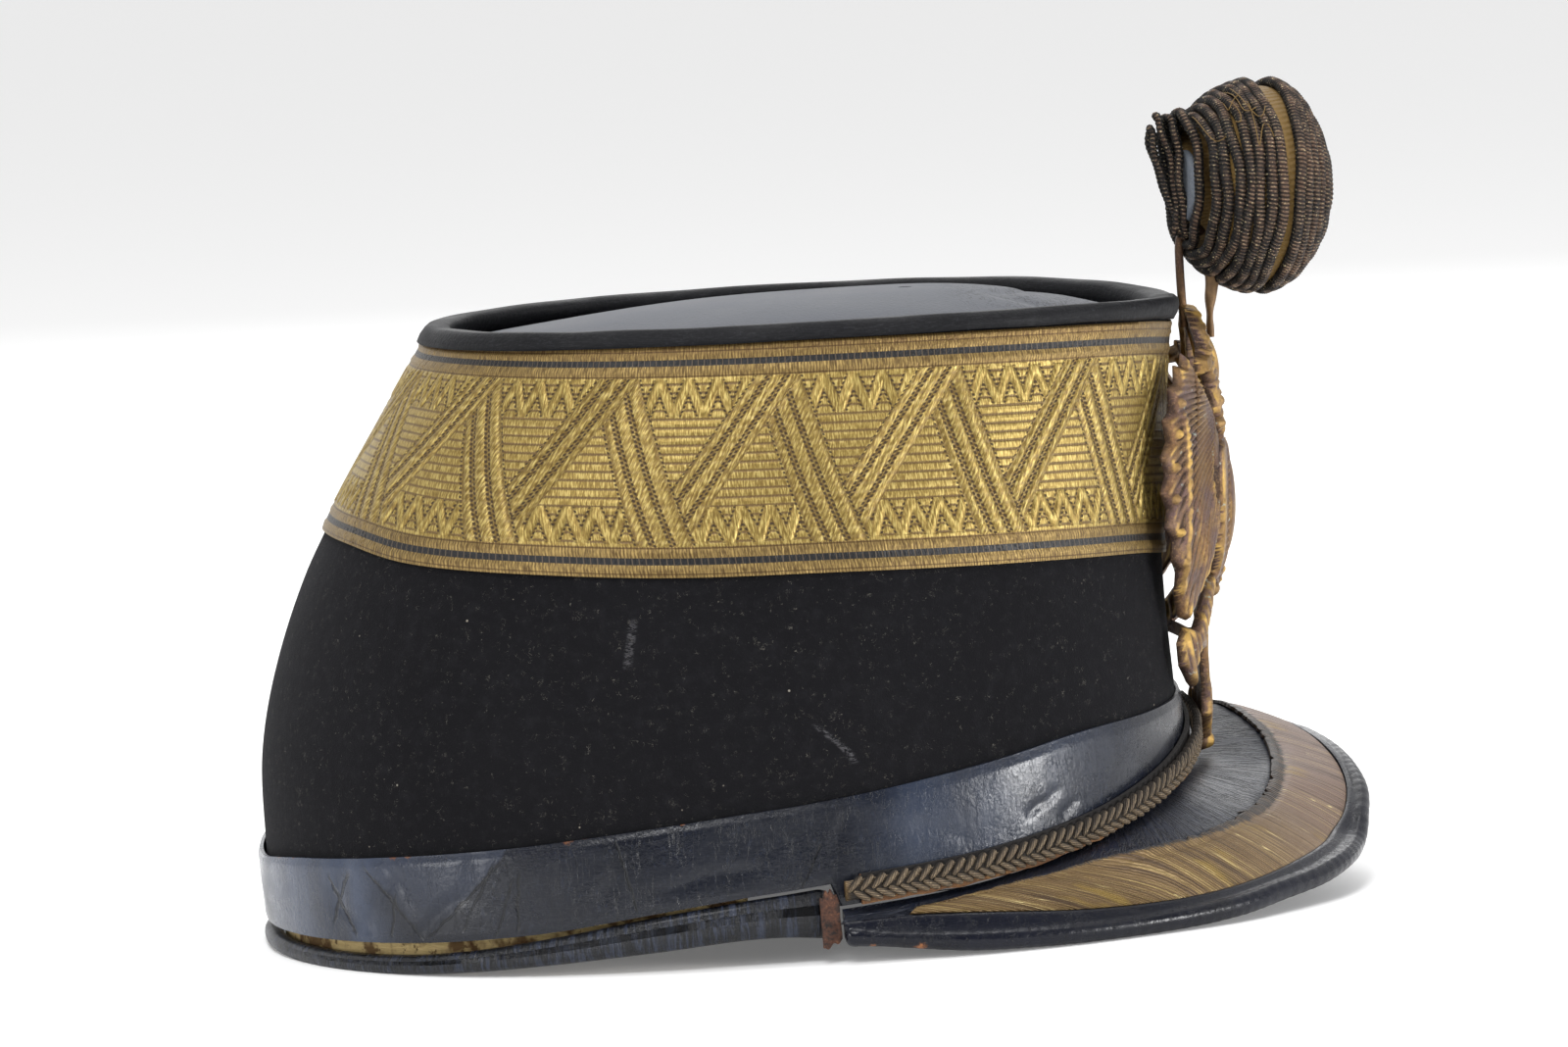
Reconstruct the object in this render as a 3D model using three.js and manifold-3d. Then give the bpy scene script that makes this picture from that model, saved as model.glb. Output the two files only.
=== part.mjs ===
// Officer's shako: cloth body, leather crown, band and visor, metal lace, eagle plate and cord rosette.
// Millimetres. x to the front of the hat, y to the wearer's left, z up. The hat stands on z = 0.
import * as THREE from 'three';
import Module from 'manifold-3d';

const wasm = await Module();
wasm.setup();

// Body: sections, walls and the heights of its edges.
const sectionPower = 2.2; // superellipse power of every horizontal section
const bodyRows = [ // outer face of the cloth
  { z: 4, back: -1.2, front: 197.0, half: 82.5 },
  { z: 22, back: -2.2, front: 197.2, half: 81.5 },
  { z: 42, back: -1.6, front: 197.4, half: 79.0 },
  { z: 64, back: 4.1, front: 196.2, half: 75.5 },
  { z: 89, back: 15.1, front: 196.2, half: 71.0 },
  { z: 110, back: 27.5, front: 197.8, half: 66.0 },
  { z: 131, back: 40.6, front: 200.8, half: 59.6 },
];
const clothWall = 2.2;
const clothUnderRim = 1.8; // the cloth ends this far below the crest
const clearance = 0.35; // free space between neighbouring pieces
const turns = 60; // stations round the hat
const stationDegrees = 360 / turns;

// Heights of the edges by angle: 0 is the front, 180 the back, the same on both sides.
const edgeRows = [
  { deg: 0, bandTop: 45.2, laceLow: 73.8, laceTop: 124.2, crest: 129.8 },
  { deg: 6, bandTop: 44.8, laceLow: 74.2, laceTop: 124.3, crest: 129.9 },
  { deg: 12, bandTop: 44.3, laceLow: 74.8, laceTop: 124.6, crest: 130.1 },
  { deg: 18, bandTop: 44.0, laceLow: 75.6, laceTop: 125.1, crest: 130.4 },
  { deg: 30, bandTop: 43.4, laceLow: 77.2, laceTop: 126.2, crest: 131.0 },
  { deg: 48, bandTop: 42.2, laceLow: 78.7, laceTop: 127.4, crest: 131.8 },
  { deg: 66, bandTop: 38.0, laceLow: 79.8, laceTop: 128.2, crest: 132.3 },
  { deg: 84, bandTop: 33.8, laceLow: 80.8, laceTop: 128.7, crest: 132.5 },
  { deg: 102, bandTop: 30.2, laceLow: 81.6, laceTop: 129.0, crest: 132.5 },
  { deg: 120, bandTop: 27.0, laceLow: 83.2, laceTop: 129.2, crest: 132.4 },
  { deg: 144, bandTop: 24.2, laceLow: 85.4, laceTop: 129.5, crest: 132.2 },
  { deg: 162, bandTop: 22.4, laceLow: 88.2, laceTop: 129.5, crest: 132.1 },
  { deg: 180, bandTop: 19.6, laceLow: 89.3, laceTop: 129.4, crest: 132.0 },
];
// Where the visor meets the body and the middle of the braid above it. The right side is negative, and the
// left side is warped up.
const seamRows = [
  { deg: -84, seam: 10.9, braid: 15.1 },
  { deg: -66, seam: 13.6, braid: 17.8 },
  { deg: -48, seam: 18.2, braid: 22.4 },
  { deg: -30, seam: 24.0, braid: 28.6 },
  { deg: -18, seam: 26.0, braid: 32.7 },
  { deg: -9, seam: 27.0, braid: 35.2 },
  { deg: 0, seam: 27.6, braid: 37.4 },
  { deg: 9, seam: 31.2, braid: 38.4 },
  { deg: 18, seam: 33.8, braid: 38.8 },
  { deg: 30, seam: 31.6, braid: 36.4 },
  { deg: 48, seam: 23.6, braid: 28.0 },
  { deg: 66, seam: 15.4, braid: 19.6 },
  { deg: 84, seam: 10.9, braid: 15.1 },
];
const baseRows = [ // lower edge of the base band and the rolled binding below it
  { deg: 84, bandLow: 16.6, rollTop: 15.8, rollLow: 5.0 },
  { deg: 90, bandLow: 15.4, rollTop: 14.6, rollLow: 6.0 },
  { deg: 102, bandLow: 12.6, rollTop: 11.8, rollLow: 4.4 },
  { deg: 114, bandLow: 9.6, rollTop: 8.4, rollLow: 2.6 },
  { deg: 126, bandLow: 7.8, rollTop: 5.6, rollLow: 1.0 },
  { deg: 138, bandLow: 6.8, rollTop: 4.1, rollLow: 0.0 },
  { deg: 180, bandLow: 5.6, rollTop: 3.8, rollLow: 0.0 },
];
const cornerDegrees = 84; // the visor ends here on both sides

// Sizes of leather, lace and cord.
const laceThickness = 1.0;
const bandThickness = 1.2;
const rimOverhang = 1.5;
const rimFlare = 0.5; // the roll is wider at its belly
const rimBelly = 1.6; // below the crest
const rimDepth = 4.4; // height of the inner leg
const rimInner = 1.9; // thickness of the inner leg
const crownThickness = 1.8;
const crownRise = 7.4;
const crownLevel = { x: 120, z: 127 }; // middle and height that the dome is drawn from
const crownPower = 2.4;
const crownPeakShift = 24; // the dome is highest in front of the middle
const braidWidth = 5.4;
const braidThickness = 2.4;
const backingThickness = 0.9;
const visorThickness = 2.2;
const crescentThickness = 0.8;
const beadRadius = 2.4;
const bindingLip = 1.0; // thickness of the flat stitched strip
const backingHeight = 4;
const liningTop = 19;

// The visor from its right corner to its left: inner and outer edge of the metal thread, then the bead.
const visorRows = [
  { seamDeg: -83, ix: 112.6, iy: -84.8, iz: 10, ox: 112, oy: -85.4, oz: 9, bx: 112.2, by: -86, bz: 6.2 },
  { seamDeg: -74, ix: 129.5, iy: -83.6, iz: 10.8, ox: 127.6, oy: -84.4, oz: 9.2, bx: 123, by: -86, bz: 4.8 },
  { seamDeg: -66, ix: 142.5, iy: -80.8, iz: 12.8, ox: 142.6, oy: -82.8, oz: 8.4, bx: 141, by: -85, bz: 3.2 },
  { seamDeg: -56, ix: 156.5, iy: -76.7, iz: 14.7, ox: 163, oy: -78, oz: 6.8, bx: 162, by: -80.6, bz: 2.5 },
  { seamDeg: -47, ix: 169.5, iy: -71.2, iz: 16.5, ox: 181, oy: -71, oz: 6.2, bx: 181, by: -73.4, bz: 2.6 },
  { seamDeg: -39, ix: 182.5, iy: -63.8, iz: 17.2, ox: 196, oy: -62.6, oz: 6.4, bx: 198, by: -65.3, bz: 3.5 },
  { seamDeg: -32, ix: 193, iy: -55.5, iz: 18, ox: 207, oy: -54, oz: 7.6, bx: 210, by: -56, bz: 5 },
  { seamDeg: -26, ix: 201, iy: -47, iz: 19, ox: 216, oy: -44.6, oz: 9.2, bx: 219.8, by: -46.8, bz: 6.2 },
  { seamDeg: -20, ix: 207.6, iy: -37.6, iz: 20.2, ox: 222.8, oy: -35.4, oz: 10.6, bx: 227.6, by: -36.8, bz: 8 },
  { seamDeg: -15, ix: 211.4, iy: -29.5, iz: 21.4, ox: 226.9, oy: -26.6, oz: 12.2, bx: 232, by: -27, bz: 9.8 },
  { seamDeg: -10, ix: 214.6, iy: -21, iz: 23.2, ox: 231, oy: -19.4, oz: 14.9, bx: 235, by: -18.6, bz: 14.2 },
  { seamDeg: -5, ix: 217.2, iy: -11, iz: 25.6, ox: 233.6, oy: -10.2, oz: 18.8, bx: 236.8, by: -9.6, bz: 18 },
  { seamDeg: 0, ix: 218.6, iy: 0, iz: 28, ox: 234.2, oy: 0, oz: 22.4, bx: 237, by: 0, bz: 21.2 },
  { seamDeg: 5, ix: 218, iy: 9, iz: 31, ox: 232.9, oy: 9, oz: 25.6, bx: 235.8, by: 9.6, bz: 23.8 },
  { seamDeg: 10, ix: 215.8, iy: 17, iz: 33.4, ox: 230.4, oy: 18, oz: 28.1, bx: 233.2, by: 19.4, bz: 26 },
  { seamDeg: 15, ix: 212.6, iy: 26.5, iz: 35.3, ox: 226.4, oy: 28, oz: 29.8, bx: 229.6, by: 30.2, bz: 27 },
  { seamDeg: 20, ix: 207.6, iy: 37.6, iz: 34.2, ox: 221, oy: 40, oz: 27.4, bx: 224.4, by: 42.6, bz: 24 },
  { seamDeg: 26, ix: 201, iy: 47, iz: 30.6, ox: 214.4, oy: 50.6, oz: 22.6, bx: 217.4, by: 53.6, bz: 18.8 },
  { seamDeg: 32, ix: 193, iy: 56, iz: 26.8, ox: 206, oy: 60, oz: 17.8, bx: 208.2, by: 63, bz: 14 },
  { seamDeg: 39, ix: 182.5, iy: 64.6, iz: 22.8, ox: 195, oy: 68, oz: 13.2, bx: 196.2, by: 71.6, bz: 9.6 },
  { seamDeg: 47, ix: 169.5, iy: 71.6, iz: 19.2, ox: 180.4, oy: 74.4, oz: 10.4, bx: 180.8, by: 78.2, bz: 6.2 },
  { seamDeg: 56, ix: 156.5, iy: 76.8, iz: 16, ox: 163, oy: 79, oz: 8.6, bx: 162, by: 82.8, bz: 3.6 },
  { seamDeg: 66, ix: 142.5, iy: 80.8, iz: 13.2, ox: 142.6, oy: 82.8, oz: 8.6, bx: 141, by: 85.4, bz: 2.6 },
  { seamDeg: 74, ix: 129.5, iy: 83.6, iz: 10.8, ox: 127.6, oy: 84.4, oz: 9.2, bx: 123, by: 86, bz: 4.6 },
  { seamDeg: 83, ix: 112.6, iy: 84.8, iz: 10, ox: 112, oy: 85.4, oz: 9, bx: 112.2, by: 86, bz: 6.2 },
];

// Plate and rosette.
const plateRows = [ // middle line of the plate's back face
  { z: 28, x: 203.4 },
  { z: 47, x: 204.0 },
  { z: 64, x: 205.0 },
  { z: 74, x: 207.4 },
  { z: 88, x: 208.4 },
  { z: 104, x: 208.2 },
  { z: 118, x: 206.2 },
  { z: 128, x: 203.8 },
  { z: 146, x: 203.8 },
];
const plateBend = 0.0118; // how fast the plate falls back to the sides
const plateThickness = 1.3;
const rosetteCentre = [216.6, 0, 152.2];
const rosetteTurn = { aside: 11, up: 9 }; // degrees
const rosetteRadius = 24.2;
const rosetteDepth = 21.5;
const cordRings = 9;
const cordRadius = 1.9;
const looseRings = [{ axial: -8.0, radius: 13.2 }, { axial: -4.8, radius: 15.0 }];
const looseCord = 1.7;
const roundSides = 20;
const backDisc = { radius: 7.8, from: -11.9, to: -10.1 };
const pinRadius = 1.1;
const pinSpots = [{ deg: 9, z: 97 }, { deg: -9, z: 97 }, { deg: 0, z: 48.6 }];

const radians = Math.PI / 180;

function material(colour, roughness, metalness = 0) {
  return new THREE.MeshStandardMaterial({ color: colour, roughness, metalness });
}

// Value of one column of a table between its rows.
function lookUp(rows, key, at, column) {
  if (at <= rows[0][key]) return rows[0][column];
  for (let i = 1; i < rows.length; i += 1) {
    if (at <= rows[i][key]) {
      const share = (at - rows[i - 1][key]) / (rows[i][key] - rows[i - 1][key]);
      return rows[i - 1][column] + share * (rows[i][column] - rows[i - 1][column]);
    }
  }
  return rows[rows.length - 1][column];
}

function signedPower(value, power) {
  return Math.sign(value) * Math.abs(value) ** power;
}

// Point of the body at an angle and a height, moved out by an offset.
function bodyPoint(degrees, z, offset) {
  const back = lookUp(bodyRows, 'z', z, 'back');
  const front = lookUp(bodyRows, 'z', z, 'front');
  const half = lookUp(bodyRows, 'z', z, 'half');
  const angle = degrees * radians;
  const power = 2 / sectionPower;
  return [
    (back + front) / 2 + ((front - back) / 2 + offset) * signedPower(Math.cos(angle), power),
    (half + offset) * signedPower(Math.sin(angle), power),
    z,
  ];
}

// Angle from the front, the same on both sides.
function fold(degrees) {
  return Math.abs(((degrees + 540) % 360) - 180);
}

function edge(degrees, column) {
  return lookUp(edgeRows, 'deg', fold(degrees), column);
}

function seam(degrees, column = 'seam') {
  return lookUp(seamRows, 'deg', ((degrees + 540) % 360) - 180, column);
}

function base(degrees, column) {
  return lookUp(baseRows, 'deg', fold(degrees), column);
}

function solid(points, faces) {
  let volume = 0;
  for (const [a, b, c] of faces) {
    const [p, q, r] = [points[a], points[b], points[c]];
    volume += p[0] * (q[1] * r[2] - q[2] * r[1]) - p[1] * (q[0] * r[2] - q[2] * r[0])
      + p[2] * (q[0] * r[1] - q[1] * r[0]);
  }
  const geometry = new THREE.BufferGeometry();
  geometry.setAttribute('position', new THREE.Float32BufferAttribute(points.flat(), 3));
  geometry.setIndex(faces.flatMap(([a, b, c]) => (volume > 0 ? [a, b, c] : [a, c, b])));
  return geometry;
}

function distance(a, b) {
  return Math.hypot(a[0] - b[0], a[1] - b[1], a[2] - b[2]);
}

// Body through equal cross-sections: a closed ring, or capped with a triangulated profile.
function loft(sections, closed, capProfile) {
  const size = sections[0].length;
  const points = sections.flat();
  const faces = [];
  const spans = closed ? sections.length : sections.length - 1;
  for (let i = 0; i < spans; i += 1) {
    const here = i * size;
    const next = ((i + 1) % sections.length) * size;
    for (let j = 0; j < size; j += 1) {
      const k = (j + 1) % size;
      const rising = distance(points[here + j], points[next + k]);
      const falling = distance(points[here + k], points[next + j]);
      if (closed || rising <= falling) {
        faces.push([here + j, next + j, next + k], [here + j, next + k, here + k]);
      } else { // the shorter diagonal keeps stacked layers parallel
        faces.push([here + j, next + j, here + k], [next + j, next + k, here + k]);
      }
    }
  }
  if (!closed) {
    const outline = capProfile.map(([x, y]) => new THREE.Vector2(x, y));
    const last = (sections.length - 1) * size;
    for (const [a, b, c] of THREE.ShapeUtils.triangulateShape(outline, [])) {
      const flip = THREE.ShapeUtils.isClockWise(outline);
      faces.push(flip ? [a, b, c] : [a, c, b]);
      faces.push(flip ? [last + a, last + c, last + b] : [last + a, last + b, last + c]);
    }
    fixCaps(points, faces, sections.length, size);
  }
  return solid(points, faces);
}

// Turns the cap faces so that every inner edge is run once in each direction.
function fixCaps(points, faces, count, size) {
  const used = new Set();
  const sideFaces = (count - 1) * size * 2;
  for (let i = 0; i < sideFaces; i += 1) {
    const [a, b, c] = faces[i];
    used.add(`${a},${b}`).add(`${b},${c}`).add(`${c},${a}`);
  }
  for (const low of [true, false]) {
    const mine = [];
    for (let i = sideFaces; i < faces.length; i += 1) {
      if ((faces[i][0] < size) === low) mine.push(i);
    }
    const clash = mine.some((i) => {
      const [a, b, c] = faces[i];
      return used.has(`${a},${b}`) || used.has(`${b},${c}`) || used.has(`${c},${a}`);
    });
    if (clash) mine.forEach((i) => faces[i].reverse());
  }
}

function angles(from, to) {
  const count = Math.max(2, Math.round((to - from) / stationDegrees));
  return Array.from({ length: count + 1 }, (_, i) => from + ((to - from) * i) / count);
}

const fullTurn = Array.from({ length: turns }, (_, i) => i * stationDegrees);

// Ring or strip that follows the body; profileAt gives [offset, z] corners for an angle.
function strip(degreesList, closed, profileAt) {
  const sections = degreesList.map((degrees) => profileAt(degrees)
    .map(([offset, z]) => bodyPoint(degrees, z, offset)));
  return loft(sections, closed, profileAt(degreesList[0]));
}

function shell() {
  const rows = [12, 24, 42, 64, 89, 110];
  return strip(fullTurn, true, (degrees) => {
    const front = fold(degrees) < cornerDegrees;
    const low = front ? seam(degrees) + 0.6 : base(degrees, 'bandLow') + 1.2;
    const top = edge(degrees, 'crest') - clothUnderRim;
    const levels = rows.map((z) => Math.max(z, low + 0.8 + z * 0.01)); // kept in order above the lower edge
    const inner = levels.map((z) => [-clothWall, z]);
    const outer = levels.map((z) => [0, z]);
    return [[0, low], ...outer, [0, top], [-clothWall, top], ...inner.reverse(), [-clothWall, low]];
  });
}

function laceBand() {
  const inside = clearance;
  const outside = clearance + laceThickness;
  return strip(fullTurn, true, (degrees) => {
    const low = edge(degrees, 'laceLow');
    const top = edge(degrees, 'laceTop');
    const middle = 110;
    return [[inside, low], [outside, low], [outside, 89.5], [outside, middle], [outside, top],
      [inside, top], [inside, middle], [inside, 89.5]];
  });
}

function baseBand() {
  const inside = clearance;
  const outside = clearance + bandThickness;
  return strip(fullTurn, true, (degrees) => {
    const front = fold(degrees) < cornerDegrees;
    const low = front ? seam(degrees) + 0.9 : base(degrees, 'bandLow');
    const top = edge(degrees, 'bandTop');
    return [[inside, low], [outside, low], [outside, top - 0.5], [outside - 0.5, top], [inside, top]];
  });
}

function topRim() {
  const outer = clearance + rimOverhang;
  return strip(fullTurn, true, (degrees) => {
    const crest = edge(degrees, 'crest');
    const low = edge(degrees, 'laceTop') + 0.4;
    const cloth = crest - clothUnderRim + clearance;
    const inner = -clothWall - rimInner;
    return [[clearance, low], [outer, low], [outer + rimFlare, crest - rimBelly], [outer - 0.9, crest],
      [-clothWall - 0.4, crest], [inner, crest - rimBelly], [inner, crest - rimDepth],
      [-clothWall - clearance, crest - rimDepth], [-clothWall - clearance, cloth], [clearance, cloth]];
  });
}

function crownTop() {
  const rings = [1, 0.8, 0.5, 0.2];
  const edgeOffset = -clothWall - clearance;
  const drop = rimDepth + 2.6 * clearance; // the disc rises inwards and stays under the inner leg of the rim
  const ring = (share, below) => fullTurn.map((degrees) => {
    const rimHeight = edge(degrees, 'crest') - drop;
    const [x, y] = bodyPoint(degrees, rimHeight, edgeOffset);
    const middle = crownLevel.x + crownPeakShift * (1 - share);
    const level = crownLevel.z + (rimHeight - crownLevel.z) * share;
    const height = level + crownRise * (1 - share ** crownPower) - below;
    return [middle + (x - crownLevel.x) * share, y * share, height];
  });
  const points = [0, crownThickness].flatMap((below) => rings.flatMap((share) => ring(share, below)));
  const faces = [];
  const span = rings.length * turns;
  for (let i = 0; i < turns; i += 1) {
    const j = (i + 1) % turns;
    for (let k = 0; k < rings.length - 1; k += 1) {
      const [a, b, c, d] = [k * turns + i, k * turns + j, (k + 1) * turns + j, (k + 1) * turns + i];
      faces.push([a, b, c], [a, c, d]);
      faces.push([a + span, c + span, b + span], [a + span, d + span, c + span]);
    }
    faces.push([i, i + span, j + span], [i, j + span, j]);
    const last = (rings.length - 1) * turns;
    faces.push([last + i, last + j, 2 * span], [last + span + i, 2 * span + 1, last + span + j]);
  }
  const peak = crownLevel.z + crownRise;
  const centre = crownLevel.x + crownPeakShift;
  points.push([centre, 0, peak], [centre, 0, peak - crownThickness]);
  return solid(points, faces);
}

function baseBinding() {
  const list = angles(cornerDegrees, 360 - cornerDegrees);
  return strip(list, false, (degrees) => {
    const low = base(degrees, 'rollLow');
    const top = base(degrees, 'rollTop');
    const belly = low + (top - low) * 0.45;
    return [[-1.7, low], [0.6, low], [1.9, belly], [1.2, top], [-1.4, top], [-2.1, belly]];
  });
}

function liningStrip() {
  const list = angles(cornerDegrees + 8, 360 - cornerDegrees - 8);
  return strip(list, false, (degrees) => {
    const low = base(degrees, 'rollLow') + 0.5;
    const outside = -clothWall - 0.3;
    const inside = outside - 0.8;
    return [[inside, low], [outside, low], [outside, liningTop], [inside, liningTop]];
  });
}

function braidBacking() {
  const list = angles(-cornerDegrees + 3, cornerDegrees - 3);
  const inside = 2 * clearance + bandThickness;
  return strip(list, false, (degrees) => {
    const low = seam(degrees) + 0.8;
    const high = low + backingHeight;
    const outside = inside + backingThickness;
    return [[inside, low], [outside, low], [outside, high], [inside, high]];
  });
}

function braidCord() {
  const list = angles(-cornerDegrees + 1, cornerDegrees - 1);
  const inside = 3 * clearance + bandThickness + backingThickness;
  return strip(list, false, (degrees) => {
    const middle = seam(degrees, 'braid');
    const half = braidWidth / 2;
    const outside = inside + braidThickness;
    return [[inside, middle - half + 0.5], [outside - 0.8, middle - half], [outside, middle],
      [outside - 0.8, middle + half], [inside, middle + half - 0.5]];
  });
}

// Grid of the visor's upper face: rows along the visor, columns from the seam to the bead.
function visorGrid() {
  return visorRows.map((row) => {
    const start = bodyPoint(row.seamDeg, seam(row.seamDeg), clearance + 0.1);
    return [start, [row.ix, row.iy, row.iz], [row.ox, row.oy, row.oz], [row.bx, row.by, row.bz]]
      .map(([x, y, z]) => new THREE.Vector3(x, y, z));
  });
}

// Unit vectors square to the visor's face, pointing up and out.
function gridNormals(grid) {
  return grid.map((line, i) => line.map((_, j) => {
    const along = grid[Math.min(i + 1, grid.length - 1)][j].clone().sub(grid[Math.max(i - 1, 0)][j]);
    const across = line[Math.min(j + 1, line.length - 1)].clone().sub(line[Math.max(j - 1, 0)]);
    return across.cross(along).normalize();
  }));
}

function shifted(point, normal, distance) {
  return point.clone().addScaledVector(normal, distance).toArray();
}

function between(line, at) {
  const index = Math.min(Math.floor(at), line.length - 2);
  return line[index].clone().lerp(line[index + 1], at - index);
}

// Layer that lies on the visor from one column of the grid to another, which may differ from row to row.
function visorLayer(from, endColumn, low, high, margin) {
  const grid = visorGrid();
  const normals = gridNormals(grid);
  const sections = [];
  for (let i = margin; i < grid.length - margin; i += 1) {
    const to = endColumn(grid[i]);
    const columns = [from, ...[1, 2].filter((k) => k > from + 0.05 && k < to - 0.05), to];
    const place = (at, height) => shifted(between(grid[i], at), between(normals[i], at).normalize(), height);
    const upper = columns.map((at) => place(at, high));
    sections.push([...upper, ...columns.reverse().map((at) => place(at, low))]);
  }
  const width = sections[0].length / 2;
  const profile = sections[0].map((_, k) => (k < width ? [k, 1] : [2 * width - 1 - k, 0]));
  return loft(sections, false, profile);
}

function visor() {
  const beadSide = 0.8 * beadRadius + 1.3 * clearance;
  return visorLayer(0, (line) => 3 - beadSide / line[3].distanceTo(line[2]), -visorThickness, 0, 0);
}

function visorLace() {
  return visorLayer(1, () => 2, clearance, clearance + crescentThickness, 2);
}

// Flat stitched lip on the visor and the bead outside it, one body.
function visorBinding() {
  const grid = visorGrid();
  const normals = gridNormals(grid);
  const sections = grid.map((line, i) => {
    const bead = line[3];
    const up = normals[i][3];
    const out = line[3].clone().sub(line[2]).normalize();
    const lip = between(line, 2).addScaledVector(out, 0.3);
    const lipEnd = between(line, 2.5);
    const at = (a, b) => bead.clone().addScaledVector(out, a * beadRadius)
      .addScaledVector(up, b * beadRadius).toArray();
    return [
      shifted(lip, normals[i][2], clearance), shifted(lip, normals[i][2], clearance + bindingLip),
      shifted(lipEnd, up, clearance + bindingLip),
      at(0.0, 1.0), at(0.75, 0.66), at(1.0, 0), at(0.7, -0.72), at(0, -1),
      at(-0.62, -0.72), at(-0.8, 0.2), shifted(lipEnd.clone().addScaledVector(out, 0.2), up, clearance),
    ];
  });
  const profile = [[-3, 0.2], [-3, 0.6], [-1.4, 0.6], [0, 1], [0.75, 0.66], [1, 0], [0.7, -0.72], [0, -1],
    [-0.62, -0.72], [-0.8, 0.2], [-1.4, 0.2]];
  return loft(sections, false, profile);
}

function cornerTab() {
  const list = [-86.1, -85.2, -84.4];
  return strip(list, false, () => [[2.4, 4.4], [3.4, 4.4], [3.1, 11], [2.2, 12.2], [1.95, 11]]);
}

// Geometry to a body for joining and cutting.
function toManifold(geometry) {
  const index = geometry.getIndex();
  const positions = geometry.getAttribute('position').array;
  return new wasm.Manifold(new wasm.Mesh({
    numProp: 3,
    vertProperties: new Float32Array(positions),
    triVerts: new Uint32Array(index.array),
  }));
}

function fromManifold(body) {
  const mesh = body.getMesh();
  const geometry = new THREE.BufferGeometry();
  geometry.setAttribute('position', new THREE.Float32BufferAttribute(mesh.vertProperties, 3));
  geometry.setIndex(Array.from(mesh.triVerts));
  return geometry;
}

// Flat piece of the plate: outline in y and z, standing from one height to another.
function cut(outline, from, to) {
  const ordered = THREE.ShapeUtils.isClockWise(outline.map(([y, z]) => new THREE.Vector2(y, z)))
    ? [...outline].reverse() : outline;
  const count = ordered.length;
  const points = [...ordered.map(([y, z]) => [from, y, z]), ...ordered.map(([y, z]) => [to, y, z])];
  const faces = [];
  const flat = ordered.map(([y, z]) => new THREE.Vector2(y, z));
  for (const [a, b, c] of THREE.ShapeUtils.triangulateShape(flat, [])) {
    faces.push([a + count, b + count, c + count], [a, c, b]);
  }
  for (let i = 0; i < count; i += 1) {
    const j = (i + 1) % count;
    faces.push([i, j, j + count], [i, j + count, i + count]);
  }
  return toManifold(solid(points, faces));
}

function mirrored(outline) {
  return outline.map(([y, z]) => [-y, z]);
}

function bothSides(outline, from, to) {
  return cut(outline, from, to).add(cut(mirrored(outline), from, to));
}

function oval(y, z, halfWidth, halfHeight, count = 12) {
  return Array.from({ length: count }, (_, i) => {
    const angle = ((i + 0.5) / count) * 2 * Math.PI;
    return [y + halfWidth * Math.cos(angle), z + halfHeight * Math.sin(angle)];
  });
}

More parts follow.
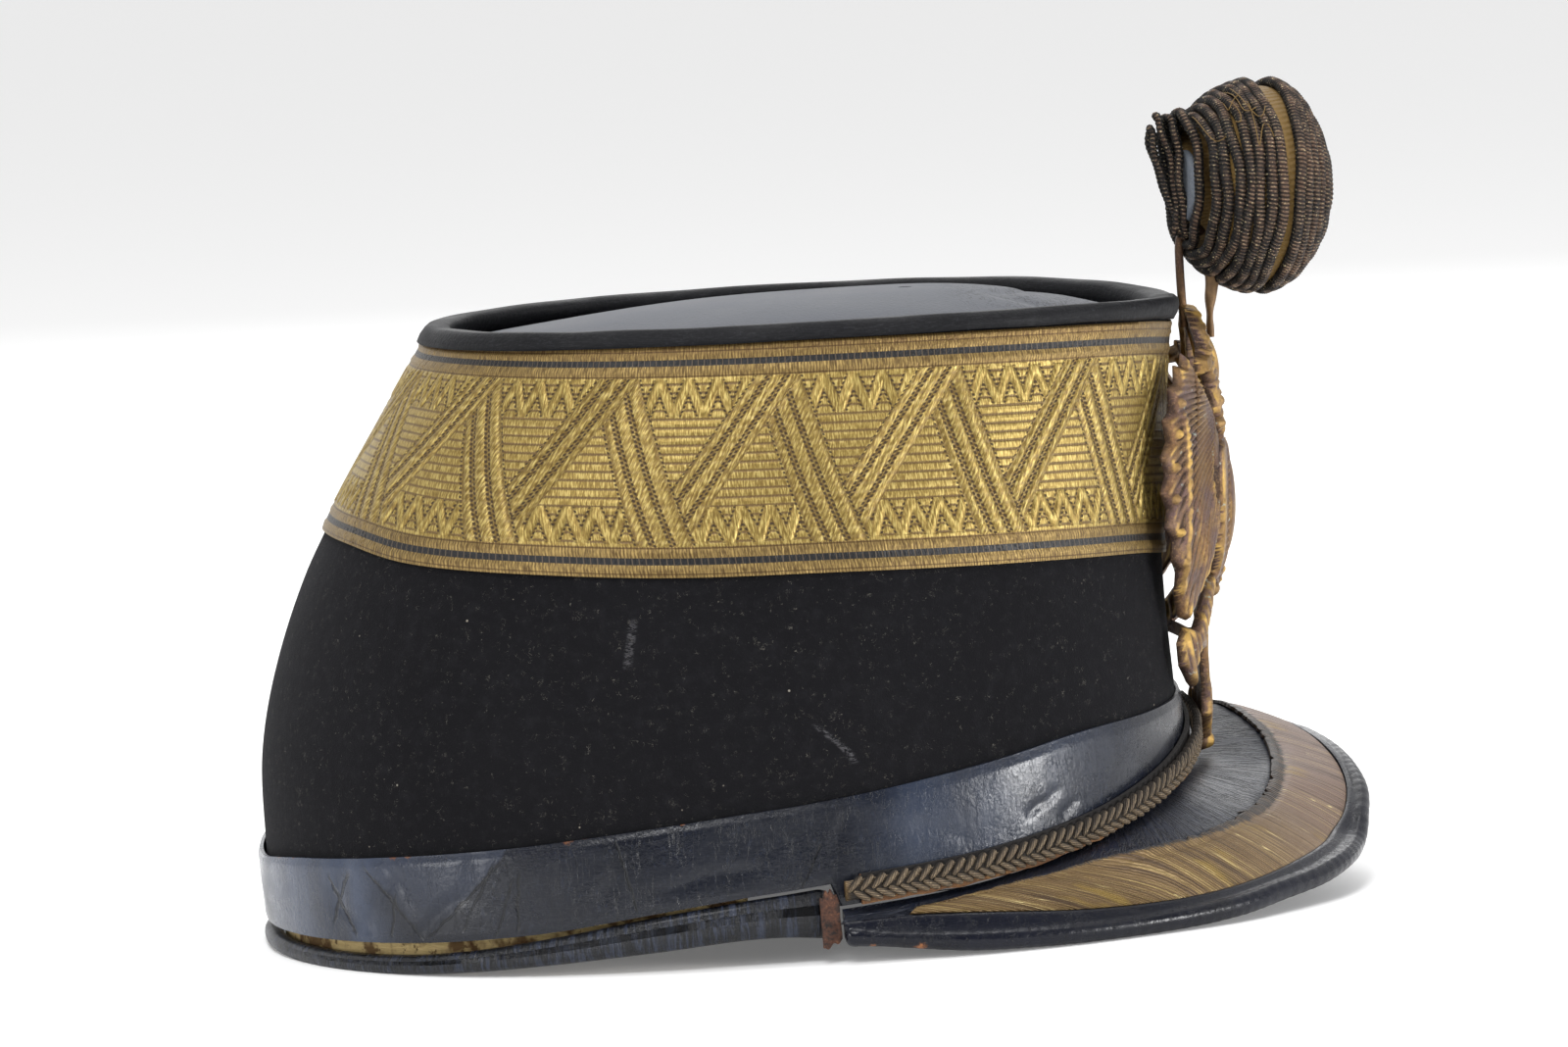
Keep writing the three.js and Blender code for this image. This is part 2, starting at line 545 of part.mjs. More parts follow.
function plate() {
  const level = plateThickness;
  const crown = [[0, 128], [4, 126], [8.5, 121.5], [11, 116], [10.6, 110.5], [8, 106.5], [5, 105], [0, 105]];
  const crownHole = [[2.2, 121], [6, 117.5], [7.6, 113.5], [6.6, 109.5], [3.2, 108.4]];
  const wing = [[9, 100], [13, 104], [19, 110], [25, 118.5], [28.6, 117.4], [29.6, 112], [33.4, 110.5],
    [33, 105], [36.6, 102], [35.4, 97], [37.8, 93], [35.8, 88.5], [37, 84.5], [34.4, 80.5], [34.8, 76],
    [31.8, 72.6], [31.4, 68.4], [28.4, 62], [24.8, 60.4], [20.5, 66], [15.5, 74], [11.5, 86]];
  const wingHole = [[13.5, 92], [17.5, 97], [18.5, 91], [16.5, 84.5], [13.8, 85.5]];
  const neck = [[4, 99], [8, 97], [12, 104], [11.4, 110], [14.5, 113.5], [18.8, 113], [17, 116],
    [12.5, 117.2], [8.6, 114.5], [7.4, 109], [7, 104]];
  const shield = [[0, 99], [7.5, 98], [12.4, 95.5], [12.8, 84], [11.4, 74], [7.4, 67], [0, 62.6]];
  const claw = [[5.5, 70], [11, 68], [17.6, 61.5], [21.5, 58], [26.6, 59.4], [29, 56], [28.2, 51], [24.6, 47],
    [21, 44.8], [22.4, 49.4], [19.6, 53.4], [13.6, 57.4], [8, 61.5]];
  const bridge = [[2, 52.6], [9, 52], [19, 53.6], [19.4, 56.4], [9, 55], [2, 55.6]];
  const tail = [[0, 66], [4.6, 65], [5.4, 60.5], [3, 56.5], [2.4, 50.5], [4.4, 46], [8.4, 41], [9, 37.5],
    [6, 35.8], [4.4, 34], [3.4, 32], [0, 30]];
  const balls = [[30.2, 113.8], [34.2, 107.0], [36.8, 99.2], [38.0, 90.8], [36.4, 80.6], [33.4, 72.4]];
  const quill = [[30.6, 104], [32.6, 104.4], [31.8, 86], [28.4, 64], [26.6, 65], [29.6, 86]];
  const feathers = [[[14, 101], [15.6, 100.4], [26, 112.6], [25, 114]],
    [[18.5, 98], [20, 97.4], [29, 106], [28.4, 107.6]],
    [[19.4, 86], [20.6, 84.8], [28.4, 92], [28.2, 94]],
    [[18.6, 76], [20, 75.2], [27.4, 80.6], [27.4, 82.6]]];
  const strip = [[-1.1, 125], [1.1, 125], [1.1, 141], [-1.1, 141]];
  const parts = [
    bothSides(crown, 0, level + 1.2),
    bothSides(wing, 0, level),
    bothSides(neck, 0, level + 1.1),
    bothSides(shield, 0, level + 1.4),
    bothSides(claw, 0, level + 0.5),
    bothSides(bridge, 0, level),
    bothSides(tail, 0, level + 0.4),
    bothSides(quill, 0.2, level + 1.0),
    ...feathers.map((outline) => bothSides(outline, 0.2, level + 0.7)),
    ...balls.map(([y, z]) => bothSides(oval(y, z, 1.9, 1.9, 8), 0, level + 1.3)),
    cut(oval(0, 82.5, 9.2, 14.4), 0.2, level + 2.5),
    cut(oval(0, 82.5, 6.2, 11.2), 0.2, level + 3.4),
    cut(oval(0, 114.8, 3.1, 7.4, 10), 0.2, level + 2.7),
    cut(oval(0, 30.5, 2.2, 2.2, 8), 0, level + 1.2),
    cut(oval(0, 39.6, 2.6, 6.6, 8), 0.2, level + 1.2),
    cut(strip, 0, level),
  ];
  let body = wasm.Manifold.union(parts);
  body = body.subtract(bothSides(crownHole, -1, 8));
  body = body.subtract(bothSides(wingHole, -1, 8));
  body = body.refineToLength(13);
  const bent = body.warp((point) => {
    const [height, y, z] = point;
    const slope = 2 * plateBend * y;
    const scale = 1 / Math.hypot(1, slope);
    point[0] = lookUp(plateRows, 'z', z, 'x') - plateBend * y * y + height * scale;
    point[1] = y + height * slope * scale;
  });
  return fromManifold(bent.add(plateLugs()).add(stripHook()));
}

// Soldered pins on the back of the plate that end just in front of the lace and the leather.
function plateLugs() {
  const pin = ({ deg, z }) => {
    const under = z > lookUp(edgeRows, 'deg', 0, 'laceLow') ? laceThickness : 0;
    const [x, y] = bodyPoint(deg, z, 2.5 * clearance + under);
    const length = lookUp(plateRows, 'z', z, 'x') - plateBend * y * y + plateThickness / 2 - x;
    const rod = wasm.Manifold.cylinder(length, pinRadius, pinRadius, 8, false);
    return rod.rotate([0, 90, 0]).translate([x, y, z]);
  };
  return wasm.Manifold.union(pinSpots.map(pin));
}

// Upper end of the soldered strip, bent forward to carry the rosette.
function stripHook() {
  return wasm.Manifold.cube([4.2, 2.2, 1.2], true).rotate([0, -16, 0]).translate([205.4, 0, 140.4]);
}

// Dome of wound cord: rings of a half-round profile on a head, with two looser rings behind.
function rosette() {
  const profile = [[0, -9]];
  for (const ring of looseRings) {
    for (const side of [-80, -20, 40]) {
      const angle = side * radians;
      profile.push([ring.radius + looseCord * Math.cos(angle), ring.axial + looseCord * Math.sin(angle)]);
    }
  }
  profile.push([11.5, -2.2]);
  for (let i = 0; i < cordRings; i += 1) {
    const turn = ((i + 0.5) / cordRings) * 88;
    const radius = rosetteRadius * Math.cos(turn * radians);
    const axial = (rosetteDepth - 1) * Math.sin(turn * radians);
    for (const side of [-62, 0, 52]) {
      const angle = (turn + side) * radians;
      const out = radius - cordRadius + cordRadius * Math.cos(angle);
      profile.push([Math.max(0.4, out), axial + cordRadius * Math.sin(angle)]);
    }
  }
  profile.push([0, rosetteDepth + 0.6]);
  const geometry = new THREE.LatheGeometry(profile.map(([r, y]) => new THREE.Vector2(r, y)), roundSides);
  return aim(geometry);
}

// Turns a body made along +y so that it points forward, a little aside and up, and moves it to its place.
function aim(geometry) {
  geometry.rotateZ(-Math.PI / 2);
  geometry.rotateY(-rosetteTurn.up * radians);
  geometry.rotateZ(rosetteTurn.aside * radians);
  geometry.translate(...rosetteCentre);
  return geometry;
}

function rosetteBack() {
  const { radius, from, to } = backDisc;
  const outline = [[0, from], [radius, from], [radius, to], [0, to]];
  return aim(new THREE.LatheGeometry(outline.map(([r, y]) => new THREE.Vector2(r, y)), roundSides));
}

function rosetteStem() {
  const tongue = new THREE.BoxGeometry(1.2, 3.6, 12);
  tongue.rotateY(0.12);
  tongue.translate(211.3, 0, 125.4);
  return tongue;
}

const group = new THREE.Group();
group.name = 'officers_shako';
const pieces = [
  ['shell', shell, material(0x26262a, 0.95)],
  ['crown_top', crownTop, material(0x33363c, 0.35)],
  ['top_rim', topRim, material(0x22242a, 0.4)],
  ['lace_band', laceBand, material(0xb89a4c, 0.45, 0.7)],
  ['base_band', baseBand, material(0x2b2f38, 0.35)],
  ['base_binding', baseBinding, material(0x23262e, 0.4)],
  ['lining_strip', liningStrip, material(0xaf9b6e, 0.9)],
  ['visor', visor, material(0x2b2f38, 0.35)],
  ['visor_lace', visorLace, material(0x96805a, 0.5, 0.5)],
  ['visor_binding', visorBinding, material(0x22242a, 0.4)],
  ['braid_cord', braidCord, material(0x6e5a42, 0.6, 0.3)],
  ['braid_backing', braidBacking, material(0xaa6e3c, 0.8)],
  ['corner_tab', cornerTab, material(0x7a4a2c, 0.85)],
  ['plate', plate, material(0x8c6446, 0.4, 0.9)],
  ['rosette', rosette, material(0x4b3e32, 0.7, 0.2)],
  ['rosette_back', rosetteBack, material(0x555c66, 0.7)],
  ['rosette_stem', rosetteStem, material(0x4a4038, 0.5, 0.8)],
];
for (const [name, make, look] of pieces) {
  const mesh = new THREE.Mesh(make(), look);
  mesh.name = name;
  group.add(mesh);
}

const bounds = new THREE.Box3().setFromObject(group);
const middle = bounds.getCenter(new THREE.Vector3());
for (const mesh of group.children) {
  mesh.geometry.translate(-middle.x, -middle.y, -bounds.min.z);
}

export default group;
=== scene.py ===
import math
import random
import bmesh
import bpy
import numpy as np
from mathutils import Matrix, Vector


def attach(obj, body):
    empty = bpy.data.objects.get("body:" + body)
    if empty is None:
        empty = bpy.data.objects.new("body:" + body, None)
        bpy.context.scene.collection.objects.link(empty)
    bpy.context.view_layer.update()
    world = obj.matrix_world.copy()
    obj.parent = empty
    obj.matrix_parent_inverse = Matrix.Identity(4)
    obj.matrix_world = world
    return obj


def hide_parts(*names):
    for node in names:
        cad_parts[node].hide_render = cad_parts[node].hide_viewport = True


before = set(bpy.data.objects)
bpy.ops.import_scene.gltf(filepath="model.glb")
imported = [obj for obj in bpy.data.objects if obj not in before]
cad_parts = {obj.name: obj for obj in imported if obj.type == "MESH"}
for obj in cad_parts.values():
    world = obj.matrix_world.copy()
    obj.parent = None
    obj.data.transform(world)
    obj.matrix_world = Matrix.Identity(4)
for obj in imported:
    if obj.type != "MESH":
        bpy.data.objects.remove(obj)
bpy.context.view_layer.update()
print("frame loaded")

mm = 0.001
middleX = 117.674  # millimetres from the back of the base to the middle of the hat


# Tables and the form of the body

def table(names, rows):
    return dict(zip(names.split(), np.array(rows, float).T))


bodyRows = table("z back front half", [
    (4, -1.2, 197.0, 82.5), (22, -2.2, 197.2, 81.5), (42, -1.6, 197.4, 79.0), (64, 4.1, 196.2, 75.5),
    (89, 15.1, 196.2, 71.0), (110, 27.5, 197.8, 66.0), (131, 40.6, 200.8, 59.6)])
edgeRows = table("deg bandTop laceLow laceTop crest", [
    (0, 45.2, 73.8, 124.2, 129.8), (12, 44.3, 74.8, 124.6, 130.1), (30, 43.4, 77.2, 126.2, 131.0),
    (48, 42.2, 78.7, 127.4, 131.8), (66, 38.0, 79.8, 128.2, 132.3), (84, 33.8, 80.8, 128.7, 132.5),
    (102, 30.2, 81.6, 129.0, 132.5), (120, 27.0, 83.2, 129.2, 132.4), (144, 24.2, 85.4, 129.5, 132.2),
    (162, 22.4, 88.2, 129.5, 132.1), (180, 19.6, 89.3, 129.4, 132.0)])
seamRows = table("deg seam braid", [  # the left side of the visor is warped up
    (-84, 10.9, 15.1), (-66, 13.6, 17.8), (-48, 18.2, 22.4), (-30, 24.0, 28.6), (-18, 26.0, 32.7),
    (-9, 27.0, 35.2), (0, 27.6, 37.4), (9, 31.2, 38.4), (18, 33.8, 38.8), (30, 31.6, 36.4),
    (48, 23.6, 28.0), (66, 15.4, 19.6), (84, 10.9, 15.1)])
baseRows = table("deg bandLow rollTop rollLow", [
    (84, 16.6, 15.8, 5.0), (90, 15.4, 14.6, 6.0), (102, 12.6, 11.8, 4.4), (114, 9.6, 8.4, 2.6),
    (126, 7.8, 5.6, 1.0), (138, 6.8, 4.1, 0.0), (180, 5.6, 3.8, 0.0)])
visorRows = table("deg ix iy iz ox oy oz bx by bz", [
    (-83, 112.6, -84.8, 10, 112, -85.4, 9, 112.2, -86, 6.2),
    (-74, 129.5, -83.6, 10.8, 127.6, -84.4, 9.2, 123, -86, 4.8),
    (-66, 142.5, -80.8, 12.8, 142.6, -82.8, 8.4, 141, -85, 3.2),
    (-56, 156.5, -76.7, 14.7, 163, -78, 6.8, 162, -80.6, 2.5),
    (-47, 169.5, -71.2, 16.5, 181, -71, 6.2, 181, -73.4, 2.6),
    (-39, 182.5, -63.8, 17.2, 196, -62.6, 6.4, 198, -65.3, 3.5),
    (-32, 193, -55.5, 18, 207, -54, 7.6, 210, -56, 5),
    (-26, 201, -47, 19, 216, -44.6, 9.2, 219.8, -46.8, 6.2),
    (-20, 207.6, -37.6, 20.2, 222.8, -35.4, 10.6, 227.6, -36.8, 8),
    (-15, 211.4, -29.5, 21.4, 226.9, -26.6, 12.2, 232, -27, 9.8),
    (-10, 214.6, -21, 23.2, 231, -19.4, 14.9, 235, -18.6, 14.2),
    (-5, 217.2, -11, 25.6, 233.6, -10.2, 18.8, 236.8, -9.6, 18),
    (0, 218.6, 0, 28, 234.2, 0, 22.4, 237, 0, 21.2),
    (5, 218, 9, 31, 232.9, 9, 25.6, 235.8, 9.6, 23.8),
    (10, 215.8, 17, 33.4, 230.4, 18, 28.1, 233.2, 19.4, 26),
    (15, 212.6, 26.5, 35.3, 226.4, 28, 29.8, 229.6, 30.2, 27),
    (20, 207.6, 37.6, 34.2, 221, 40, 27.4, 224.4, 42.6, 24),
    (26, 201, 47, 30.6, 214.4, 50.6, 22.6, 217.4, 53.6, 18.8),
    (32, 193, 56, 26.8, 206, 60, 17.8, 208.2, 63, 14),
    (39, 182.5, 64.6, 22.8, 195, 68, 13.2, 196.2, 71.6, 9.6),
    (47, 169.5, 71.6, 19.2, 180.4, 74.4, 10.4, 180.8, 78.2, 6.2),
    (56, 156.5, 76.8, 16, 163, 79, 8.6, 162, 82.8, 3.6),
    (66, 142.5, 80.8, 13.2, 142.6, 82.8, 8.6, 141, 85.4, 2.6),
    (74, 129.5, 83.6, 10.8, 127.6, 84.4, 9.2, 123, 86, 4.6),
    (83, 112.6, 84.8, 10, 112, 85.4, 9, 112.2, 86, 6.2)])
bodySizes = {"power": 2.2, "clothWall": 2.2, "clearance": 0.35, "cornerDeg": 84}


def smooth(keys, values, at):  # curve through the rows of a table
    at = np.clip(np.asarray(at, float), keys[0], keys[-1])
    slopes = np.diff(values) / np.diff(keys)
    lean = np.concatenate([slopes[:1], (slopes[1:] + slopes[:-1]) / 2, slopes[-1:]])
    i = np.clip(np.searchsorted(keys, at, side="right") - 1, 0, len(keys) - 2)
    span = keys[i + 1] - keys[i]
    t = (at - keys[i]) / span
    return ((2 * t ** 3 - 3 * t ** 2 + 1) * values[i] + (t ** 3 - 2 * t ** 2 + t) * span * lean[i]
            + (3 * t ** 2 - 2 * t ** 3) * values[i + 1] + (t ** 3 - t ** 2) * span * lean[i + 1])


def power(value, exponent):
    return np.sign(value) * np.abs(value) ** exponent


def bodyPoint(deg, z, offset=0.0):
    deg, z, offset = np.broadcast_arrays(*(np.asarray(v, float) for v in (deg, z, offset)))
    back = smooth(bodyRows["z"], bodyRows["back"], z)
    front = smooth(bodyRows["z"], bodyRows["front"], z)
    half = smooth(bodyRows["z"], bodyRows["half"], z)
    angle = np.radians(deg)
    bend = 2 / bodySizes["power"]
    x = (back + front) / 2 + ((front - back) / 2 + offset) * power(np.cos(angle), bend)
    y = (half + offset) * power(np.sin(angle), bend)
    return np.stack([x, y, z], -1)


def signed(deg):
    return (np.asarray(deg, float) + 540) % 360 - 180


def edge(deg, column):
    fromBack = 180 - np.abs(signed(deg))
    fromBack = np.where(fromBack < 8, fromBack ** 2 / 16 + 4, fromBack)  # no point at the middle of the back
    return smooth(edgeRows["deg"], edgeRows[column], 180 - fromBack)


def seam(deg, column="seam"):
    return smooth(seamRows["deg"], seamRows[column], signed(deg))


def base(deg, column):
    return smooth(baseRows["deg"], baseRows[column], np.abs(signed(deg)))


def ripples(x, y, seed, count=7):  # smooth uneven waves between about -1 and 1
    draw = random.Random(seed)
    total = 0.0
    for _ in range(count):
        turn = draw.uniform(0, math.tau)
        pace = draw.uniform(0.6, 1.9)
        total = total + np.sin(pace * (x * math.cos(turn) + y * math.sin(turn)) + draw.uniform(0, math.tau))
    return total / math.sqrt(count * 2)


# The next five take numbers, arrays and sockets alike

def fraction(v):
    return v.math("FRACT") if isinstance(v, Wire) else v - np.floor(v)


def size(v):  # without its sign
    return v.math("ABSOLUTE") if isinstance(v, Wire) else np.abs(v)


def least(a, b):
    if isinstance(a, Wire) or isinstance(b, Wire):
        return (a if isinstance(a, Wire) else b).math("MINIMUM", b if isinstance(a, Wire) else a)
    return np.minimum(a, b)


def most(a, b):
    if isinstance(a, Wire) or isinstance(b, Wire):
        return (a if isinstance(a, Wire) else b).math("MAXIMUM", b if isinstance(a, Wire) else a)
    return np.maximum(a, b)


def ease(low, high, v):  # 0 at low and 1 at high, held beyond both; low may be the larger
    t = least(most((v - low) / (high - low), 0.0), 1.0)
    return t * t * (3.0 - t * 2.0)


# Meshes

def meshPiece(name, points, faces, uv=None, sharp=None):  # faces: an array, or a list if sizes differ
    place = (np.asarray(points, float).reshape(-1, 3) - (middleX, 0, 0)) * mm
    if isinstance(faces, list):
        counts = np.array([len(face) for face in faces], np.int32)
        loops = np.concatenate([np.asarray(face) for face in faces])
    else:
        counts = np.full(len(faces), faces.shape[1], np.int32)
        loops = faces.reshape(-1)
    mesh = bpy.data.meshes.new(name)
    mesh.vertices.add(len(place))
    mesh.vertices.foreach_set("co", place.reshape(-1))
    mesh.loops.add(len(loops))
    mesh.loops.foreach_set("vertex_index", loops.astype(np.int32))
    mesh.polygons.add(len(counts))
    mesh.polygons.foreach_set("loop_start", np.concatenate([[0], np.cumsum(counts)[:-1]]).astype(np.int32))
    mesh.polygons.foreach_set("loop_total", counts)
    mesh.update(calc_edges=True)
    if uv is not None:
        layer = mesh.uv_layers.new(name="flat")
        layer.data.foreach_set("uv", np.asarray(uv, float).reshape(-1) * mm)
    mesh.validate()
    mesh.shade_smooth()
    if sharp:
        mesh.set_sharp_from_angle(angle=math.radians(sharp))
    piece = bpy.data.objects.new(name, mesh)
    bpy.context.scene.collection.objects.link(piece)
    return piece


def enclosed(points, quads):  # six times the volume inside the faces
    a, b, c, d = (points[quads[:, k]] for k in range(4))
    return float(np.sum(a * np.cross(b, c)) + np.sum(a * np.cross(c, d)))


def circle(count, whole=math.tau):  # even angles round a full turn
    return np.arange(count) * whole / count


def outwards(points, centre=108.0):  # level unit vectors away from the middle of the body
    way = points - np.array([centre, 0, 0])
    way[..., 2] = 0
    return way / np.linalg.norm(way, axis=-1, keepdims=True)


def sweep(name, sections, uv, closed, sharp=None):  # sections: stations, corners, 3; every section is a loop
    stations, corners = sections.shape[:2]
    points = sections.reshape(-1, 3)
    spans = stations if closed else stations - 1
    i, j = (v.reshape(-1) for v in np.meshgrid(np.arange(spans), np.arange(corners), indexing="ij"))
    nextI, nextJ = (i + 1) % stations, (j + 1) % corners
    quads = np.stack([i * corners + j, nextI * corners + j, nextI * corners + nextJ, i * corners + nextJ], 1)
    flat = np.stack([uv[i, j], uv[i + 1, j], uv[i + 1, j + 1], uv[i, j + 1]], 1)
    inward = enclosed(points, quads) < 0
    if inward:
        quads, flat = quads[:, ::-1], flat[:, ::-1]
    faces, flat = [list(q) for q in quads], flat.reshape(-1, 2)
    if not closed:
        first = list(range(corners))
        last = [(stations - 1) * corners + k for k in range(corners)]
        faces += [first[::-1], last] if inward else [first, last[::-1]]
        flat = np.concatenate([flat, np.repeat(uv[:1, 0], corners, 0), np.repeat(uv[-2:-1, 0], corners, 0)])
    return meshPiece(name, points, faces, flat, sharp=sharp)


def lengths(line):  # running length along a line of points
    steps = np.linalg.norm(np.diff(line, axis=0), axis=1)
    return np.concatenate([[0], np.cumsum(steps)])


def ringUv(sections, closed):  # length along the first corner, then length round each section
    loop = np.concatenate([sections, sections[:1] if closed else sections[-1:]], 0)
    around = lengths(loop[:, 0])
    first = np.concatenate([sections[0], sections[0][:1]], 0)
    across = lengths(first)
    return np.stack(np.meshgrid(around, across, indexing="ij"), -1)


def bodyRing(name, degs, closed, profile, change=None, uvFrom=None, sharp=None):
    # profile(degs) gives offsets and heights, each stations by corners
    offsets, heights = profile(degs[:, None])
    offsets, heights = np.broadcast_arrays(offsets, heights)
    sections = bodyPoint(degs[:, None], heights, offsets)
    uv = ringUv(sections, closed) if uvFrom is None else uvFrom(degs, heights)
    if change is not None:
        sections = change(sections, degs, heights)
    return sweep(name, sections, uv, closed, sharp)


def closeHole(mesh):  # fills the small ring left open at each pole
    work = bmesh.new()
    work.from_mesh(mesh)
    edges = [e for e in work.edges if e.is_boundary]
    if edges:
        bmesh.ops.holes_fill(work, edges=edges)
    work.to_mesh(mesh)
    work.free()


def markPoints(piece, name, values):
    layer = piece.data.attributes.new(name, "FLOAT", "POINT")
    layer.data.foreach_set("value", values)


def joinedMesh(name, parts):  # one mesh from several pieces just made
    bpy.ops.object.select_all(action="DESELECT")
    for part in parts:
        part.select_set(True)
    bpy.context.view_layer.objects.active = parts[0]
    bpy.ops.object.join()
    parts[0].name = name
    return parts[0]


# Materials

def srgb(*channels):  # colour from its three values out of 255
    linear = (c / 255 / 12.92 if c <= 10 else ((c / 255 + 0.055) / 1.055) ** 2.4 for c in channels)
    return tuple(linear) + (1.0,)


class Wire:
    def __init__(self, look, socket):
        self.look, self.socket = look, socket

    def math(self, operation, *others):
        return self.look.node("ShaderNodeMath", {"operation": operation}, dict(enumerate((self, *others))))

    def __add__(self, other):
        return self.math("ADD", other)

    def __sub__(self, other):
        return self.math("SUBTRACT", other)

    def __mul__(self, other):
        return self.math("MULTIPLY", other)

    def __truediv__(self, other):
        return self.math("DIVIDE", other)

    def __rsub__(self, other):
        return self.look.node("ShaderNodeMath", {"operation": "SUBTRACT"}, {0: other, 1: self})

    def __rtruediv__(self, other):
        return self.look.node("ShaderNodeMath", {"operation": "DIVIDE"}, {0: other, 1: self})

    __radd__ = __add__
    __rmul__ = __mul__


class Look:
    def __init__(self, name, **shader):
        self.material = bpy.data.materials.new(name)
        self.material.use_nodes = True
        self.tree = self.material.node_tree
        self.tree.nodes.clear()
        self.output = self.tree.nodes.new("ShaderNodeOutputMaterial")
        self.shader = self.tree.nodes.new("ShaderNodeBsdfPrincipled")
        self.tree.links.new(self.shader.outputs[0], self.output.inputs["Surface"])
        self.set(**shader)

    def set(self, **values):  # sockets of the shader, words joined in camelCase
        for key, value in values.items():
            socket = next(s for s in self.shader.inputs if s.name.replace(" ", "").lower() == key.lower())
            self.feed(socket, value)

    def feed(self, socket, value):
        if isinstance(value, Wire):
            self.tree.links.new(value.socket, socket)
        else:
            socket.default_value = value

    def fed(self, name):  # what reaches a socket of the shader so far
        return Wire(self, self.shader.inputs[name].links[0].from_socket)

    def node(self, kind, settings, values, output=0):
        made = self.tree.nodes.new(kind)
        for key, value in settings.items():
            setattr(made, key, value)
        for key, value in values.items():
            self.feed(made.inputs[key], value)
        return Wire(self, made.outputs[output])

    def place(self):  # object coordinates in millimetres
        coordinates = self.node("ShaderNodeTexCoord", {}, {}, "Object")
        return self.node("ShaderNodeVectorMath", {"operation": "SCALE"}, {0: coordinates, "Scale": 1 / mm})

    def split(self, vector):
        made = self.tree.nodes.new("ShaderNodeSeparateXYZ")
        self.tree.links.new(vector.socket, made.inputs[0])
        return [Wire(self, out) for out in made.outputs]

    def flat(self):  # the piece's own flat map in millimetres
        mapped = self.node("ShaderNodeUVMap", {"uv_map": "flat"}, {})
        return self.node("ShaderNodeVectorMath", {"operation": "SCALE"}, {0: mapped, "Scale": 1 / mm})

    def attribute(self, name):
        return self.node("ShaderNodeAttribute", {"attribute_name": name}, {}, "Fac")

    def stretched(self, vector, *scale):
        return self.node("ShaderNodeVectorMath", {"operation": "MULTIPLY"}, {0: vector, 1: scale})

    def joined(self, x, y, z=0.0):
        return self.node("ShaderNodeCombineXYZ", {}, {0: x, 1: y, 2: z})

    def noise(self, vector, scale, detail=3.0, roughness=0.55, distortion=0.0):
        return self.node("ShaderNodeTexNoise", {}, {"Vector": vector, "Scale": scale, "Detail": detail,
                                                    "Roughness": roughness, "Distortion": distortion})

    def streaks(self, x, y, detail=2.0, roughness=0.5):  # noise on a flat map that is already scaled
        return self.noise(self.joined(x, y), 1.0, detail, roughness)

    def cells(self, vector, scale):
        return self.node("ShaderNodeTexVoronoi", {}, {"Vector": vector, "Scale": scale}, "Distance")

    def mix(self, factor, first, second):
        return self.node("ShaderNodeMix", {"data_type": "RGBA", "clamp_factor": True},
                         {0: factor, 6: first, 7: second}, 2)

    def bump(self, height, strength, distance, normal=None):
        values = {"Height": height, "Strength": strength, "Distance": distance * mm}
        if normal is not None:
            values["Normal"] = normal
        return self.node("ShaderNodeBump", {}, values)


def finishPiece(piece, look, slot, *replaced):
    piece.data.materials.clear()
    piece.data.materials.append(look.material)
    if replaced:
        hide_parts(*replaced)
    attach(piece, "root")
    return piece


def leather(name, dark, light, rough, grainSize, wear=0.1, folds=0.4, coat=0.0, shine=0.4):
    look = Look(name, coatWeight=coat, coatRoughness=0.12, specularIorLevel=shine)
    place = look.place()
    clouds = look.noise(place, 0.06, 5, 0.6)
    fine = look.noise(place, 0.8, 4, 0.65)
    grain = look.cells(place, grainSize)
    scratch = look.noise(look.stretched(place, 0.12, 0.12, 1.6), 1.0, 3, 0.6, 1.5)
    colour = look.mix(clouds, dark, light)
    colour = look.mix(ease(0.6, 0.75, fine) * wear, colour, srgb(92, 94, 104))
    colour = look.mix(ease(0.03, 0.0, size(scratch - 0.5)) * wear * 0.6, colour, srgb(120, 120, 126))
    broad = look.noise(look.stretched(place, 0.05, 0.05, 0.12), 1.0, 3, 0.5)
    look.set(baseColor=colour, roughness=rough + ease(0.3, 0.7, broad) * 0.2 + fine * 0.06,
             normal=look.bump(grain * 0.15 + fine * folds + clouds * folds, 0.35, 0.45))
    return look


def cracked(look):  # thin upright cracks and short checks
    place = look.place()
    long = look.noise(look.stretched(place, 0.4, 0.4, 0.06), 1.0, 3, 0.6, 0.8)
    short = look.noise(look.stretched(place, 0.9, 0.9, 0.6), 1.0, 3, 0.6, 1.2)
    where = ease(0.5, 0.62, look.noise(place, 0.05, 2))
    line = most(ease(0.010, 0.002, size(long - 0.5)), ease(0.02, 0.004, size(short - 0.5)) * where) * 0.5
    look.set(baseColor=look.mix(line, look.fed("Base Color"), srgb(4, 4, 5)),
             normal=look.bump(1.0 - line, 0.5, 0.4, look.fed("Normal")))


def worn(look, spots, tint):  # worn or spotted places: x, y, z and radius
    place = look.place()
    ragged = look.noise(place, 0.9, 3, 0.7)
    colour = look.fed("Base Color")
    for x, y, z, radius in spots:
        away = look.node("ShaderNodeVectorMath", {"operation": "DISTANCE"},
                         {0: place, 1: (x - middleX, y, z)}, "Value")
        colour = look.mix(ease(1.1, 0.6, away / radius + (ragged - 0.5) * 1.4), colour, tint)
    look.set(baseColor=colour)


# Camera, floor and light

view = {"lens": 190.755, "back": 1800.0, "turn": -7.0, "height": 262.0, "roll": 2.9, "aim": (114.4, 84.4)}


